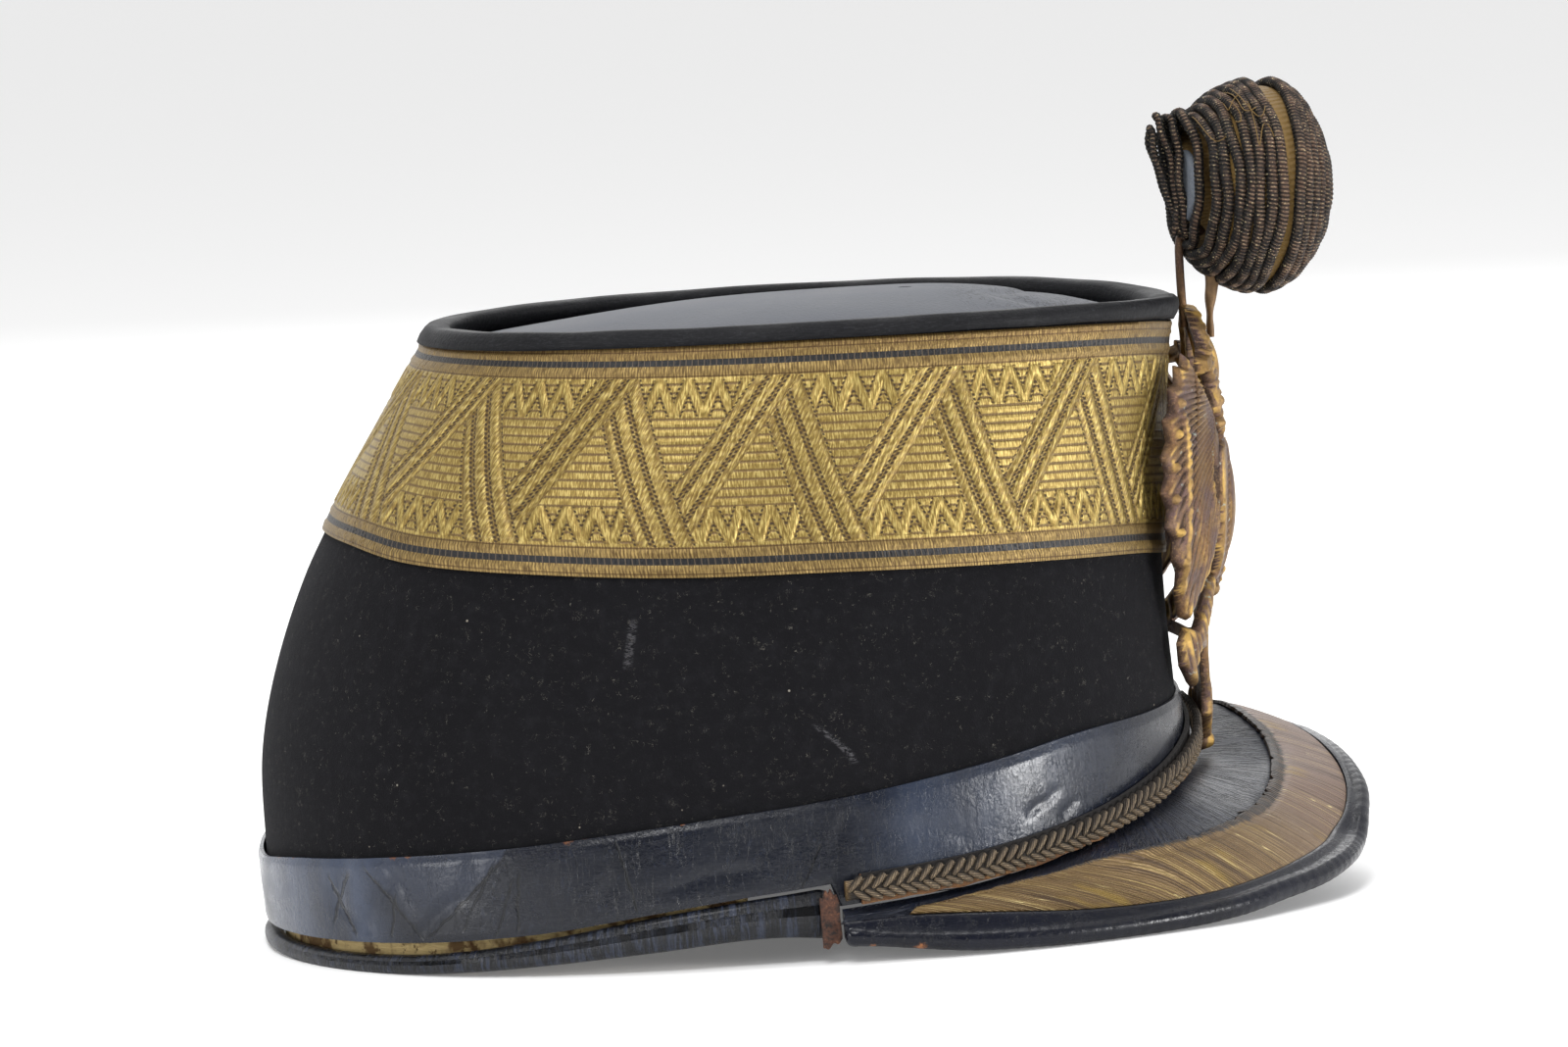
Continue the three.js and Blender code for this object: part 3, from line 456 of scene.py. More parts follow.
def makeCamera():
    turn, roll = math.radians(view["turn"]), math.radians(view["roll"])
    forward = Vector((-math.sin(turn), math.cos(turn), 0))
    target = Vector(((view["aim"][0] - middleX) * mm, 0, view["aim"][1] * mm))
    spot = target - forward * view["back"] * mm
    spot.z = view["height"] * mm
    look = (target - spot).normalized()
    right = Vector((math.cos(turn), math.sin(turn), 0))
    up = right.cross(look)
    camera = bpy.data.objects.new("camera", bpy.data.cameras.new("camera"))
    across = right * math.cos(roll) - up * math.sin(roll)
    upward = right * math.sin(roll) + up * math.cos(roll)
    camera.matrix_world = Matrix((across, upward, -look)).transposed().to_4x4()
    camera.location = spot
    camera.data.sensor_width = 36
    camera.data.lens = view["lens"]
    camera.data.clip_start = 0.05
    camera.data.clip_end = 60
    bpy.context.scene.collection.objects.link(camera)
    bpy.context.scene.camera = camera


studio = {
    "floor": 14.0,
    "world": (0.2, 1.0),  # light from the side of the camera and from behind the hat
    "worldSpan": (-0.9, 0.45),  # where it changes from one to the other
    "lamps": [  # name, place, aim, size, watts
        ("key", (-0.35, -1.2, 1.45), (0, 0, 0.06), 0.6, 18),
        ("side", (-1.5, -0.9, 0.35), (-0.1, 0, 0.05), 0.5, 9),
        ("top", (0.15, 0.1, 1.5), (0, 0, 0.05), 0.8, 8),
        ("front", (1.25, -0.8, 0.22), (0.05, 0, 0.03), 0.35, 13),
        ("back", (0.2, 1.4, 0.9), (0, 0, 0.08), 1.0, 6),
    ],
}


def makeStudio():
    half = studio["floor"] / 2
    corners = [(middleX + x * half / mm, y * half / mm, 0) for x, y in ((-1, -1), (1, -1), (1, 1), (-1, 1))]
    floor = meshPiece("floor", corners, [[0, 1, 2, 3]])
    look = Look("paleFloor", baseColor=(0.93, 0.93, 0.93, 1), emissionStrength=0.14,
                emissionColor=(1, 1, 1, 1))
    look.set(roughness=0.8 + look.noise(look.place(), 0.01) * 0.1)
    floor.data.materials.append(look.material)
    world = bpy.data.worlds.new("studio")
    world.use_nodes = True
    tree = world.node_tree
    way, parts = tree.nodes.new("ShaderNodeTexCoord"), tree.nodes.new("ShaderNodeSeparateXYZ")
    spread = tree.nodes.new("ShaderNodeMapRange")
    spread.interpolation_type = "SMOOTHSTEP"
    for socket, value in zip(list(spread.inputs)[1:5], studio["worldSpan"] + studio["world"]):
        socket.default_value = value
    tree.links.new(way.outputs["Generated"], parts.inputs[0])
    tree.links.new(parts.outputs["Y"], spread.inputs[0])
    tree.links.new(spread.outputs[0], tree.nodes["Background"].inputs["Strength"])
    tree.nodes["Background"].inputs["Color"].default_value = (1, 1, 1, 1)
    bpy.context.scene.world = world
    for name, spot, aim, width, watts in studio["lamps"]:
        lamp = bpy.data.lights.new(name, "AREA")
        lamp.size = width
        lamp.energy = watts
        holder = bpy.data.objects.new(name, lamp)
        holder.location = spot
        holder.rotation_euler = (Vector(aim) - Vector(spot)).to_track_quat("-Z", "Y").to_euler()
        bpy.context.scene.collection.objects.link(holder)
    settings = bpy.context.scene.view_settings
    settings.view_transform = "Standard"
    settings.look = "None"


makeCamera()
makeStudio()
print("camera and studio ready")


# Cloth body

cloth = {
    "stations": 360, "rows": 70, "wave": 0.35,
    "dark": srgb(8, 8, 11), "light": srgb(17, 17, 20), "sheen": srgb(86, 86, 96), "lint": srgb(150, 142, 130),
    "moth": ((55.1, -71.7, 79.5, 0.9), (69.9, -77.0, 51.5, 0.9), (141.6, -71.5, 37.6, 1.3)),
    "redSpot": ((105.8, -78.8, 53.3, 0.6),),
    "scuffs": (  # x, z, height and lean
        (71.9, 68.2, 6.0, 0.2), (113.2, 46.0, 4.2, -1.1), (116.0, 43.0, 2.4, -0.6)),
}


def bodyBottom(deg):
    front = np.abs(signed(deg)) < bodySizes["cornerDeg"]
    return np.where(front, seam(deg) + 0.6, base(deg, "bandLow") + 1.2)


def clothBody():
    share = np.linspace(0, 1, cloth["rows"])

    def profile(deg):
        low, top = bodyBottom(deg), edge(deg, "crest") - 1.8
        outside = low + (top - low) * share
        heights = np.concatenate([outside, outside[:, ::-1]], 1)
        offsets = np.concatenate([np.zeros_like(share), np.full_like(share, -bodySizes["clothWall"])])
        return offsets[None, :], heights

    def change(sections, degs, heights):  # gentle waves, calm at the bottom and under the lace
        deg = degs[:, None]
        calm = ease(0, 12, heights - bodyBottom(deg)) * ease(0, 10, edge(deg, "laceLow") - heights)
        wave = ripples(deg / 22, heights / 26, 4) * cloth["wave"] * calm
        return sections + outwards(sections) * wave[..., None]

    piece = bodyRing("cloth_body", circle(cloth["stations"], 360), True, profile, change, sharp=60)
    return finishPiece(piece, clothLook(), "body_cloth", "shell")


def clothLook():
    look = Look("blackCloth", sheenWeight=0.05, sheenRoughness=0.45, sheenTint=cloth["sheen"],
                specularIorLevel=0.15)
    place = look.place()
    mottle = look.noise(place, 0.35, 5, 0.7)
    fuzz = look.noise(place, 2.6, 3, 0.8)
    colour = look.mix(look.noise(place, 0.03, 4), cloth["dark"], cloth["light"])
    colour = look.mix(ease(0.45, 0.75, mottle) * 0.5, colour, srgb(27, 27, 30))
    colour = look.mix(ease(0.6, 0.8, fuzz) * 0.6, colour, srgb(58, 57, 58))
    sparse = ease(0.52, 0.56, look.noise(place, 0.11, 2))
    colour = look.mix(ease(0.05, 0.03, look.cells(place, 0.16)) * sparse * 0.8, colour, cloth["lint"])
    for shift, scale in ((0.0, 0.34), (31.0, 0.5)):  # curled pale hairs, two sets
        moved = look.node("ShaderNodeVectorMath", {"operation": "ADD"}, {0: place, 1: (shift, shift, -shift)})
        hairs = look.noise(moved, scale, 2, 0.5, 3.5)
        spots = ease(0.6, 0.68, look.noise(moved, 0.55, 2))
        colour = look.mix(ease(0.012, 0.0, size(hairs - 0.5)) * spots * 0.6, colour, srgb(120, 116, 108))
    look.set(baseColor=colour, roughness=0.88 + fuzz * 0.1, normal=look.bump(fuzz + mottle * 0.8, 0.55, 0.5))
    worn(look, cloth["moth"], srgb(160, 122, 96))
    worn(look, cloth["redSpot"], srgb(176, 60, 48))
    scuffed = ease(0.45, 0.6, look.noise(look.stretched(place, 0.5, 0.5, 1.3), 1.0, 4, 0.75, 1.5)) * 0.8
    colour = look.fed("Base Color")
    for x, z, high, lean in cloth["scuffs"]:
        away = look.node("ShaderNodeVectorMath", {"operation": "SUBTRACT"},
                         {0: place, 1: (x - middleX, -77, z)})
        dx, dy, dz = look.split(away)
        near = ease(1.0, 0.2, size(dx - dz * lean) / 1.3) * ease(1.0, 0.5, size(dz) / high)
        colour = look.mix(near * ease(12, 8, size(dy)) * scuffed, colour, srgb(78, 77, 80))
    look.set(baseColor=colour)
    return look


clothBody()
print("cloth body made")


# Crown

crown = {
    "stations": 240, "rings": 60, "middle": (120, 127),  # x and height of the middle of the disc
    "rise": 7.4, "peakShift": 24.0, "edgeDrop": 5.3, "wall": 1.8, "dent": 0.9,
    "dark": srgb(50, 53, 60), "light": srgb(76, 79, 87), "worn": srgb(112, 114, 120)}


def crownTop():
    degs = circle(crown["stations"], 360)
    share = np.linspace(1, 0.02, crown["rings"])[None, :]
    middle, level = crown["middle"]
    rimHeight = edge(degs, "crest") - crown["edgeDrop"]
    rim = bodyPoint(degs, rimHeight, -bodySizes["clothWall"] - bodySizes["clearance"])[:, None]
    x = middle + crown["peakShift"] * (1 - share) + (rim[..., 0] - middle) * share
    y = rim[..., 1] * share
    z = level + (rim[..., 2] - level) * share + crown["rise"] * (1 - share ** 2.4)
    z = z + ripples(x / 16, y / 14, 8) * 0.35 * ease(0, 0.2, 1 - share)
    z = z - crown["dent"] * np.exp(-((x - 168 - 6 * np.sin(y / 9)) / 3.2) ** 2) * ease(40, 20, np.abs(y))
    top = np.stack([x, y, z], -1)
    bottom = top - (0, 0, crown["wall"])
    sections = np.concatenate([top, bottom[:, ::-1]], 1)
    uv = np.pad(sections[..., :2], ((0, 1), (0, 1), (0, 0)), "wrap")
    piece = sweep("crown_disc", sections, uv, True, sharp=60)
    closeHole(piece.data)
    return finishPiece(piece, crownLook(), "crown_leather", "crown_top")


def crownLook():
    look = Look("crownLeather", specularIorLevel=0.2)
    place = look.place()
    x, y, _ = look.split(place)
    patches = look.noise(place, 0.045, 4, 0.6)
    grain = look.cells(place, 1.3)
    fold = look.noise(look.joined(x * 0.5 + y * 0.02, y * 0.09), 1.0, 3, 0.6, 1.0)
    cracks = ease(0.03, 0.0, size(fold - 0.5)) * ease(22, 8, size(x - 50)) * ease(44, 20, size(y))
    colour = look.mix(patches, crown["dark"], crown["light"])
    colour = look.mix(ease(0.55, 0.75, look.noise(place, 0.3, 5, 0.7)) * 0.35, colour, srgb(38, 38, 42))
    colour = look.mix(cracks * 0.7, colour, srgb(26, 26, 30))
    colour = look.mix(ease(0.62, 0.72, look.noise(place, 1.1, 4, 0.75)) * 0.5, colour, crown["worn"])
    look.set(baseColor=colour, roughness=0.5 + patches * 0.2,
             normal=look.bump(grain * 0.2 + patches * 0.6 - cracks * 0.8, 0.5, 0.6))
    return look


rimRoll = {
    "stations": 300, "wave": 0.108,
    "leather": {"dark": srgb(5, 5, 7), "light": srgb(15, 16, 20), "rough": 0.5, "grainSize": 0.9,
                "folds": 1.6, "shine": 0.2}}


def topRim():
    outer = bodySizes["clearance"] + 1.5
    inner = -bodySizes["clothWall"]
    gap = bodySizes["clearance"]
    corners = [  # offset, height above the crest; None: from the upper edge of the lace
        (gap, None), (outer - 0.4, None), (outer + 0.3, -3.6), (outer + 0.5, -2.2), (outer + 0.2, -0.9),
        (outer - 0.7, -0.15), (outer - 1.7, 0.0), (inner - 0.2, -0.15), (inner - 1.3, -0.7),
        (inner - 1.8, -1.8), (inner - 1.9, -4.3), (inner - gap, -4.4), (inner - gap, -1.8 + gap),
        (gap, -1.8 + gap)]

    def profile(deg):
        crest = edge(deg, "crest")
        low = edge(deg, "laceTop") + 0.45
        heights = np.concatenate([low if h is None else crest + h for _, h in corners], 1)
        return np.array([o for o, _ in corners])[None, :], heights

    def change(sections, degs, heights):
        sections[..., 2] += ripples(degs[:, None] / 3.5, heights / 3, 15) * rimRoll["wave"]
        return sections

    piece = bodyRing("rim_roll", circle(rimRoll["stations"], 360), True, profile, change)
    return finishPiece(piece, leather("rimLeather", **rimRoll["leather"]), "rim_leather", "top_rim")


crownTop()
topRim()
print("crown and rim made")


# Gold lace

lace = {
    "repeats": 14, "start": -0.46, "stations": 1100, "rows": 84, "relief": 0.38, "thick": 0.55,
    # brown also serves as painted shade in the rib grooves and on the low ground; deep as painted shade in
    # the holes
    "gold": srgb(146, 124, 64), "pale": srgb(192, 172, 106), "brown": srgb(88, 66, 34),
    "deep": srgb(46, 30, 15)}
fieldTop, fieldLow = 0.143, 0.869  # shares of the height, counted down from the upper edge
unitWide, unitTop, unitLow = 900.0, 240.0, 1130.0  # one repeat of the pattern in chart units


def woven(x, y):  # chart of one repeat at x along and y down: relief, hole, bar and rib
    def gap(x0, y0, slope, shift):
        return x + shift - x0 - (y - y0) * slope

    def bar(within, rowOne, rowTwo, soft, pitch):  # raised bar between two lines, with two rows of holes
        part = ease(0, 6, within)
        raised = ease(6, soft, least(least(size(rowOne), size(rowTwo)), within)) * part
        beat = fraction(y / pitch + ease(-1, 1, rowOne) * 0.5 + ease(-1, 1, rowTwo) * 0.5)
        rows = least(size(size(rowOne) - 11), size(size(rowTwo) - 11))
        return part, raised, ease(10, 4, rows) * ease(0.34, 0.22, size(beat - 0.5)) * part

    def holesAlong(line, pitch):
        return ease(9, 3, size(line)) * ease(0.3, 0.2, size(fraction(y / pitch) - 0.5))

    relief, hole, smoothPart, strokes = 0.0, 0.0, 0.0, 0.0
    for shift in (0.0, unitWide):
        left, right = gap(500, 500, -0.80, shift), gap(745, 500, -0.76, shift)
        before = gap(188, 700, 0.31, shift)
        lineL, lineR = gap(815, 700, 0.27, shift), gap(1088, 700, 0.31, shift)
        falling = bar(least(left, least(0.0 - right, before)), gap(570, 500, -0.80, shift),
                      gap(675, 500, -0.78, shift), 40, 24)
        rising = bar(least(lineL, least(0.0 - lineR, right)), gap(885, 700, 0.30, shift),
                     gap(988, 700, 0.30, shift), 42, 25)
        for part, raised, holes in (falling, rising):
            relief = most(relief, raised)
            smoothPart = most(smoothPart, part)
            hole = most(hole, holes)
        hole = most(hole, holesAlong(left + 4, 23) * ease(-14, 0, before))
        hole = most(hole, holesAlong(lineR - 5, 24) * ease(-10, 4, right))
        hole = most(hole, holesAlong(lineL + 4, 24) * ease(-10, 4, right))
    rib = size(fraction(y / 46) - 0.5) * 2  # 1 in the groove
    plain = (1.0 - ease(0.55, 1.0, rib)) * 0.62
    for pitch, first, high, low in ((162.0, 250.0, 262.0, 440.0), (150.0, 508.0, 930.0, 1105.0)):
        swing = size(fraction((x - first) / pitch) - 0.5) * 2  # 1 at the lower points
        line = size(y - high - swing * (low - high)) * 0.42
        zone = ease(high - 14, high, y) * ease(low + 12, low, y) * (1.0 - smoothPart)
        plain = most(plain * (1.0 - ease(42, 32, line) * zone), ease(27, 10, line) * zone)
        strokes = most(strokes, ease(44, 36, line) * zone)
        beads = ease(8, 4, size(line - 34)) * ease(0.32, 0.22, size(fraction(y / 24) - 0.5))
        hole = most(hole, beads * zone)
    relief = most(relief, plain * (1.0 - smoothPart))
    return relief, hole, smoothPart, rib * (1.0 - strokes)


def laceRelief(along, down):  # along in repeats, down as a share of the height
    x = fraction(along) * unitWide
    y = unitTop + (down - fieldTop) / (fieldLow - fieldTop) * (unitLow - unitTop)
    relief, hole, _, _ = woven(x, y)
    inside = ease(fieldTop, fieldTop + 0.01, down) * ease(fieldLow, fieldLow - 0.01, down)
    cords = 0.0
    for low, high in ((0.0, 0.03), (0.032, 0.062), (0.098, 0.138), (0.875, 0.912), (0.95, 0.984),
                      (0.986, 1.0)):
        half = (high - low) / 2
        cords = most(cords, 1.0 - ((down - low - half) / half) ** 2)
    return inside * (relief * (1 - hole * 0.8)) + (1 - inside) * most(cords, 0.25) * 0.9


def laceBand():
    down = np.linspace(1, 0, lace["rows"])
    inside = bodySizes["clearance"]

    def profile(deg):
        low, top = edge(deg, "laceLow"), edge(deg, "laceTop")
        heights = low + (top - low) * (1 - down)[None, :]
        heights = np.concatenate([heights, heights[:, [-1]], heights[:, [0]]], 1)
        offsets = np.concatenate([np.full(len(down), inside + lace["thick"]), [inside, inside]])
        return offsets[None, :], heights

    def change(sections, degs, heights):
        lift = laceRelief(laceAlong(degs, heights[:, :-2]), down[None, :]) * lace["relief"]
        lift = lift + ripples(degs[:, None] / 7, down[None, :] * 4, 21) * 0.06
        lift = np.concatenate([lift, np.zeros((len(degs), 2))], 1)
        return sections + outwards(sections, 112.0) * lift[..., None]

    def uvFrom(degs, heights):
        degs = np.append(degs, 360)
        heights = np.concatenate([heights, heights[:, :1]], 1)
        heights = np.concatenate([heights, heights[:1]], 0)
        across = np.concatenate([down, [0.0, 1.0, 1.0]])[None, :] + 0 * heights
        return np.stack([laceAlong(degs, heights), across], -1) / mm

    piece = bodyRing("lace", circle(lace["stations"], 360), True, profile, change, uvFrom, sharp=70)
    return finishPiece(piece, laceLook(), "gold_lace", "lace_band")


def laceAlong(degs, heights):  # repeats of the pattern along the lace, square to its edges at every height
    middle = 105.0
    fine = np.linspace(0, 360, 1441)
    line = bodyPoint(fine, middle)
    run = lengths(line)
    way = np.stack([np.gradient(line[:, 0], fine), np.gradient(line[:, 1], fine)], -1)
    way = way / np.linalg.norm(way, axis=-1, keepdims=True)
    rise = (bodyPoint(fine, middle + 10) - bodyPoint(fine, middle - 10))[:, :2] / 20
    lean = np.sum(rise * way, -1)
    along = np.interp(degs, fine, run)[:, None] + np.interp(degs, fine, lean)[:, None] * (heights - middle)
    return along / run[-1] * lace["repeats"] + lace["start"]


def laceLook():
    look = Look("goldLace", specularIorLevel=0.35)
    along, down, _ = look.split(look.node("ShaderNodeUVMap", {"uv_map": "flat"}, {}))
    x = fraction(along) * unitWide
    y = (down - fieldTop) * ((unitLow - unitTop) / (fieldLow - fieldTop)) + unitTop
    relief, hole, smoothPart, rib = woven(x, y)
    inside = ease(fieldTop, fieldTop + 0.004, down) * ease(fieldLow, fieldLow - 0.004, down)
    place = look.place()
    patches = look.noise(place, 0.05, 4, 0.6)
    glint = look.noise(place, 3.2, 2, 0.7)
    thread = look.streaks(along * 110, down * 24)
    slant = look.streaks(along * 70 + down * 46, down * 30)
    ticks = size(fraction(along * 26) - 0.5) * 2
    weave = smoothPart * slant + (1 - smoothPart) * thread
    colour = look.mix(patches, lace["gold"], srgb(124, 102, 52))
    colour = look.mix(ease(0.45, 0.65, weave) * 0.7, colour, lace["pale"])
    colour = look.mix(ease(0.47, 0.36, weave) * 0.5, colour, lace["brown"])
    # painted shade in the grooves between the ribs, broken by small ticks
    tick = size(fraction(along * 46 + ease(0.4, 0.6, fraction(y / 92)) * 0.5) - 0.5) * 2
    colour = look.mix(ease(0.5, 0.85, rib) * (1 - smoothPart) * (0.5 + tick * 0.45), colour, lace["brown"])
    strands = size(fraction(along * 40 + down * 26) - 0.5) * 2
    colour = look.mix(ease(0.45, 0.95, strands) * smoothPart * 0.5, colour, lace["brown"])
    # painted shade on the low ground between the raised parts
    colour = look.mix((1 - ease(0.0, 0.5, relief)) * 0.55, colour, lace["brown"])
    # the small holes painted dark: painted shade in them over the dark cloth behind
    colour = look.mix(hole * 0.9, colour, lace["deep"])
    edgeColour = look.mix(ease(0.3, 0.7, thread), srgb(88, 70, 42), srgb(156, 132, 80))
    dashes = ease(0.3, 0.9, size(fraction(along * 52) - 0.5) * 2)
    edgeColour = look.mix(dashes * 0.55, edgeColour, srgb(74, 54, 28))
    edgeColour = look.mix(ease(0.075, 0.02, down) * 0.3, edgeColour, srgb(96, 70, 40))
    checks = most(ease(0.064, 0.068, down) * ease(0.096, 0.092, down),
                  ease(0.914, 0.918, down) * ease(0.948, 0.944, down))
    silk = look.mix(ease(0.76, 0.92, ticks) * 0.7, srgb(14, 13, 15), srgb(84, 72, 56))
    edgeColour = look.mix(checks, edgeColour, silk)
    # painted shade in the grooves between the edge cords
    for groove in (0.031, 0.139, 0.874, 0.985):
        edgeColour = look.mix(ease(0.005, 0.001, size(down - groove)) * 0.75, edgeColour, srgb(66, 46, 26))
    colour = look.mix(inside, edgeColour, colour)
    metal = (1 - checks * (1 - inside)) * (1 - hole * inside) * (1 - ease(0.5, 0.85, rib) * inside * 0.6)
    height = weave * 0.5 + inside * (relief * 0.6 - hole * 1.4) + glint * 0.4 + (1 - inside) * thread * 0.6
    look.set(baseColor=colour, metallic=metal * 0.6, roughness=0.46 - glint * 0.16 + hole * 0.3,
             normal=look.bump(height, 0.6, 0.35))
    return look


laceBand()
print("lace made")


# Base band, its rolled binding and the lining inside

creases = table("x z turn reach wide deep", [  # near side, turn in degrees from the horizontal
    (10, 19, 80, 14, 1.6, 0.5), (17, 15, 62, 9, 1.3, 0.45), (22, 20, -55, 10, 1.2, 0.4),
    (29, 13, 48, 9, 1.4, 0.5), (13, 11, -40, 7, 1.1, 0.35), (36, 21, 85, 9, 1.5, 0.3),
    (62, 15, 74, 8, 1.3, 0.25), (112, 24, 78, 11, 0.8, 0.4), (156, 28, 38, 3.2, 0.9, 0.45),
    (160, 30, 42, 3.0, 0.8, 0.4), (164, 27, 35, 3.4, 0.9, 0.4), (135, 26, -20, 9, 1.6, 0.2),
    (85, 20, 10, 14, 1.5, 0.18)])
band = {
    # the blue-grey colour set below is a painted sheen
    "stations": 600, "rows": 30, "thick": 1.2, "wave": 0.12, "bloom": srgb(66, 76, 96),
    "leather": {"dark": srgb(6, 8, 14), "light": srgb(16, 20, 32), "rough": 0.14, "grainSize": 1.2,
                "folds": 0.6, "coat": 0.1, "shine": 0.32},
    "lines": (  # painted shade along the crease lines: place along the hat at the low end, lean, low and high end
        (26, -0.75, 8, 22), (27, 0.95, 8, 24), (34, 0.5, 10, 24), (13, -0.4, 8, 20), (20, 0.1, 8, 17),
        (45, 0.08, 10, 22), (70, -0.25, 12, 28), (41, 0.3, 9, 21), (104, 0.5, 16, 25), (9, 0.25, 10, 21)),
    "chips": ((-0.7, -22, 22.5, 1.2), (2, -30, 23.4, 1.1), (21.5, -57, 25.4, 1.4), (24, -60, 25.6, 1.0),
              (56.5, -75.5, 28.4, 1.4), (60, -76.5, 29, 0.9), (80, -80.5, 31.2, 0.8), (85, -80.8, 13.8, 0.9)),
    "pins": ((40, -69.3, 23.7, 0.9), (21.6, -57.8, 13.2, 0.8), (54.5, -75.5, 17.1, 0.5),
             (76.1, -80.3, 16.1, 0.5)),
}


def pressed(sections):  # depth of the creases at points of the near side
    total = 0.0
    near = ease(0, 8, -sections[..., 1])
    for x, z, turn, reach, wide, deep in zip(*creases.values()):
        dx, dz = sections[..., 0] - x, sections[..., 2] - z
        turn = math.radians(turn)
        along = dx * math.cos(turn) + dz * math.sin(turn)
        off = -dx * math.sin(turn) + dz * math.cos(turn) + 0.12 * along * np.sin(along / 5)
        total = total + deep * np.exp(-(off / wide) ** 2) * ease(1, 0.4, np.abs(along) / reach) * near
    return total


def sheenOn(look):  # painted blue-grey sheen, strongest at the back, a painted highlight on one facet, painted shade along the crease lines and painted sheen on the wrinkles
    place = look.place()
    x, y, z = look.split(place)
    cloud = look.noise(look.joined(x * 0.07, y * 0.07, z * 0.03), 1.0, 3, 0.5, 0.3)
    atBack = ease(-88, -108, x) * 0.8
    ahead = ease(-8, 12, x) * ease(70, 40, x) * 0.4
    # painted blue-grey sheen, strongest at the back and weaker over the front half
    colour = look.mix(ease(0.2, 0.8, cloud) * (atBack + ahead + 0.02), look.fed("Base Color"), band["bloom"])
    lines = 0.0
    bend = (look.noise(place, 0.3, 2) - 0.5) * 1.6
    for at, lean, low, high in band["lines"]:
        line = ease(0.42, 0.1, size(x + (middleX - at) - (z - low) * lean + bend))
        lines = most(lines, line * ease(low - 1, low + 1, z) * ease(high + 1, high - 1, z))
    near = ease(0, -8, y)
    away = x + (middleX - 26.5) + bend * 2
    # painted highlight on one facet between two crease lines
    facet = ease(-0.4, 0.6, away + (z - 8.0) * 0.75) * ease(-0.4, 0.6, (z - 8.0) * 0.95 - away)
    colour = look.mix(facet * ease(6, 20, z) * near * 0.2, colour, srgb(66, 76, 98))
    # painted shade in the crease lines
    colour = look.mix(lines * near * 0.75, colour, srgb(6, 7, 9))
    wrinkle = look.noise(look.joined(x * 0.9, y * 0.9, z * 0.5), 1.0, 5, 0.7, 0.8)
    # painted blue-grey sheen on the crests of the wrinkles
    colour = look.mix(ease(0.56, 0.66, wrinkle) * 0.12, colour, srgb(60, 68, 88))
    look.set(baseColor=colour, normal=look.bump(wrinkle * 0.3 - lines * near, 0.5, 0.4, look.fed("Normal")))


def baseBand():
    share = np.linspace(0, 1, band["rows"])[None, :]
    inside = bodySizes["clearance"]

    def profile(deg):
        low = np.where(np.abs(signed(deg)) < bodySizes["cornerDeg"], seam(deg) + 0.9, base(deg, "bandLow"))
        top = edge(deg, "bandTop")
        heights = np.concatenate([low + (top - low) * share, top, low], 1)
        rounding = 0.5 * ease(0.9, 1.0, share) + 0.25 * ease(0.06, 0.0, share)
        return np.concatenate([inside + band["thick"] - rounding[0], [inside, inside]])[None, :], heights

    def change(sections, degs, heights):
        x, z = sections[..., 0], sections[..., 2]
        lift = ripples(x / 13, z / 9 + np.sign(sections[..., 1]) * 5, 31) * band["wave"] - pressed(sections)
        lift = np.clip(lift, -0.9, 0.5)
        lift[:, -2:] = 0  # the inner face stays smooth
        return sections + outwards(sections) * lift[..., None]

    piece = bodyRing("band_skin", circle(band["stations"], 360), True, profile, change, sharp=60)
    look = leather("bandLeather", **band["leather"])
    cracked(look)
    sheenOn(look)
    worn(look, band["chips"], srgb(96, 58, 34))
    worn(look, band["pins"], srgb(214, 204, 186))
    return finishPiece(piece, look, "band_leather", "base_band")


roll = {
    "stations": 700, "corners": 20, "cornersPerTurn": 18,  # the last two corners lie on the first two
    "half": 2.0, "folds": 0.3,
    "leather": {"dark": srgb(5, 6, 9), "light": srgb(15, 18, 26), "rough": 0.2, "grainSize": 1.6,
                "folds": 1.2, "coat": 0.1, "shine": 0.35}}


def baseBinding():
    corner = bodySizes["cornerDeg"]
    degs = np.linspace(corner, 360 - corner, roll["stations"])
    turn = np.arange(roll["corners"]) * math.tau / roll["cornersPerTurn"]

    def profile(deg):
        low, top = base(deg, "rollLow"), base(deg, "rollTop")
        near = np.clip(np.minimum(deg - corner, 360 - corner - deg) / 1.6, 0, 1)
        end = np.sqrt(1 - (1 - near) ** 2) * 0.55 + 0.45
        heights = (low + top) / 2 + (top - low) / 2 * end * power(np.sin(turn), 0.8)[None, :]
        return (-0.1 + (roll["half"] * power(np.cos(turn), 0.8))[None, :] * end), heights

    def change(sections, degs, heights):
        folds = ripples(degs[:, None] * 1.6 / 9, heights / 6, 42) * roll["folds"]
        return sections + outwards(sections) * (folds * ease(0.3, 1.5, sections[..., 2]))[..., None]

    piece = bodyRing("roll_skin", degs, False, profile, change, sharp=70)
    look = leather("bindingLeather", **roll["leather"])
    cracked(look)
    run, across, _ = look.split(look.flat())
    fold = look.noise(look.joined(run * 0.75, across * 0.13), 1.0, 4, 0.65, 0.8)
    fine = look.noise(look.joined(run * 2.4, across * 0.3), 1.0, 3, 0.7, 0.6)
    # painted blue-grey sheen on the crests of the folds and painted shade in their hollows
    colour = look.mix(ease(0.48, 0.62, fold) * 0.5, look.fed("Base Color"), srgb(56, 64, 84))
    colour = look.mix(ease(0.42, 0.36, fold) * 0.5, colour, srgb(6, 6, 8))
    look.set(baseColor=colour, normal=look.bump(fold + fine * 0.5, 0.9, 1.4, look.fed("Normal")))
    return finishPiece(piece, look, "binding_leather", "base_binding")


lining = {"stations": 380, "rows": 12, "outside": -2.5, "inside": -3.3, "top": 19,
          "dark": srgb(150, 124, 76), "light": srgb(226, 204, 150), "stain": srgb(74, 44, 24)}


def wallOffsets(outside, inside, rows):  # one outer and one inner face, each of so many rows
    return np.repeat([outside, inside], rows)[None, :]


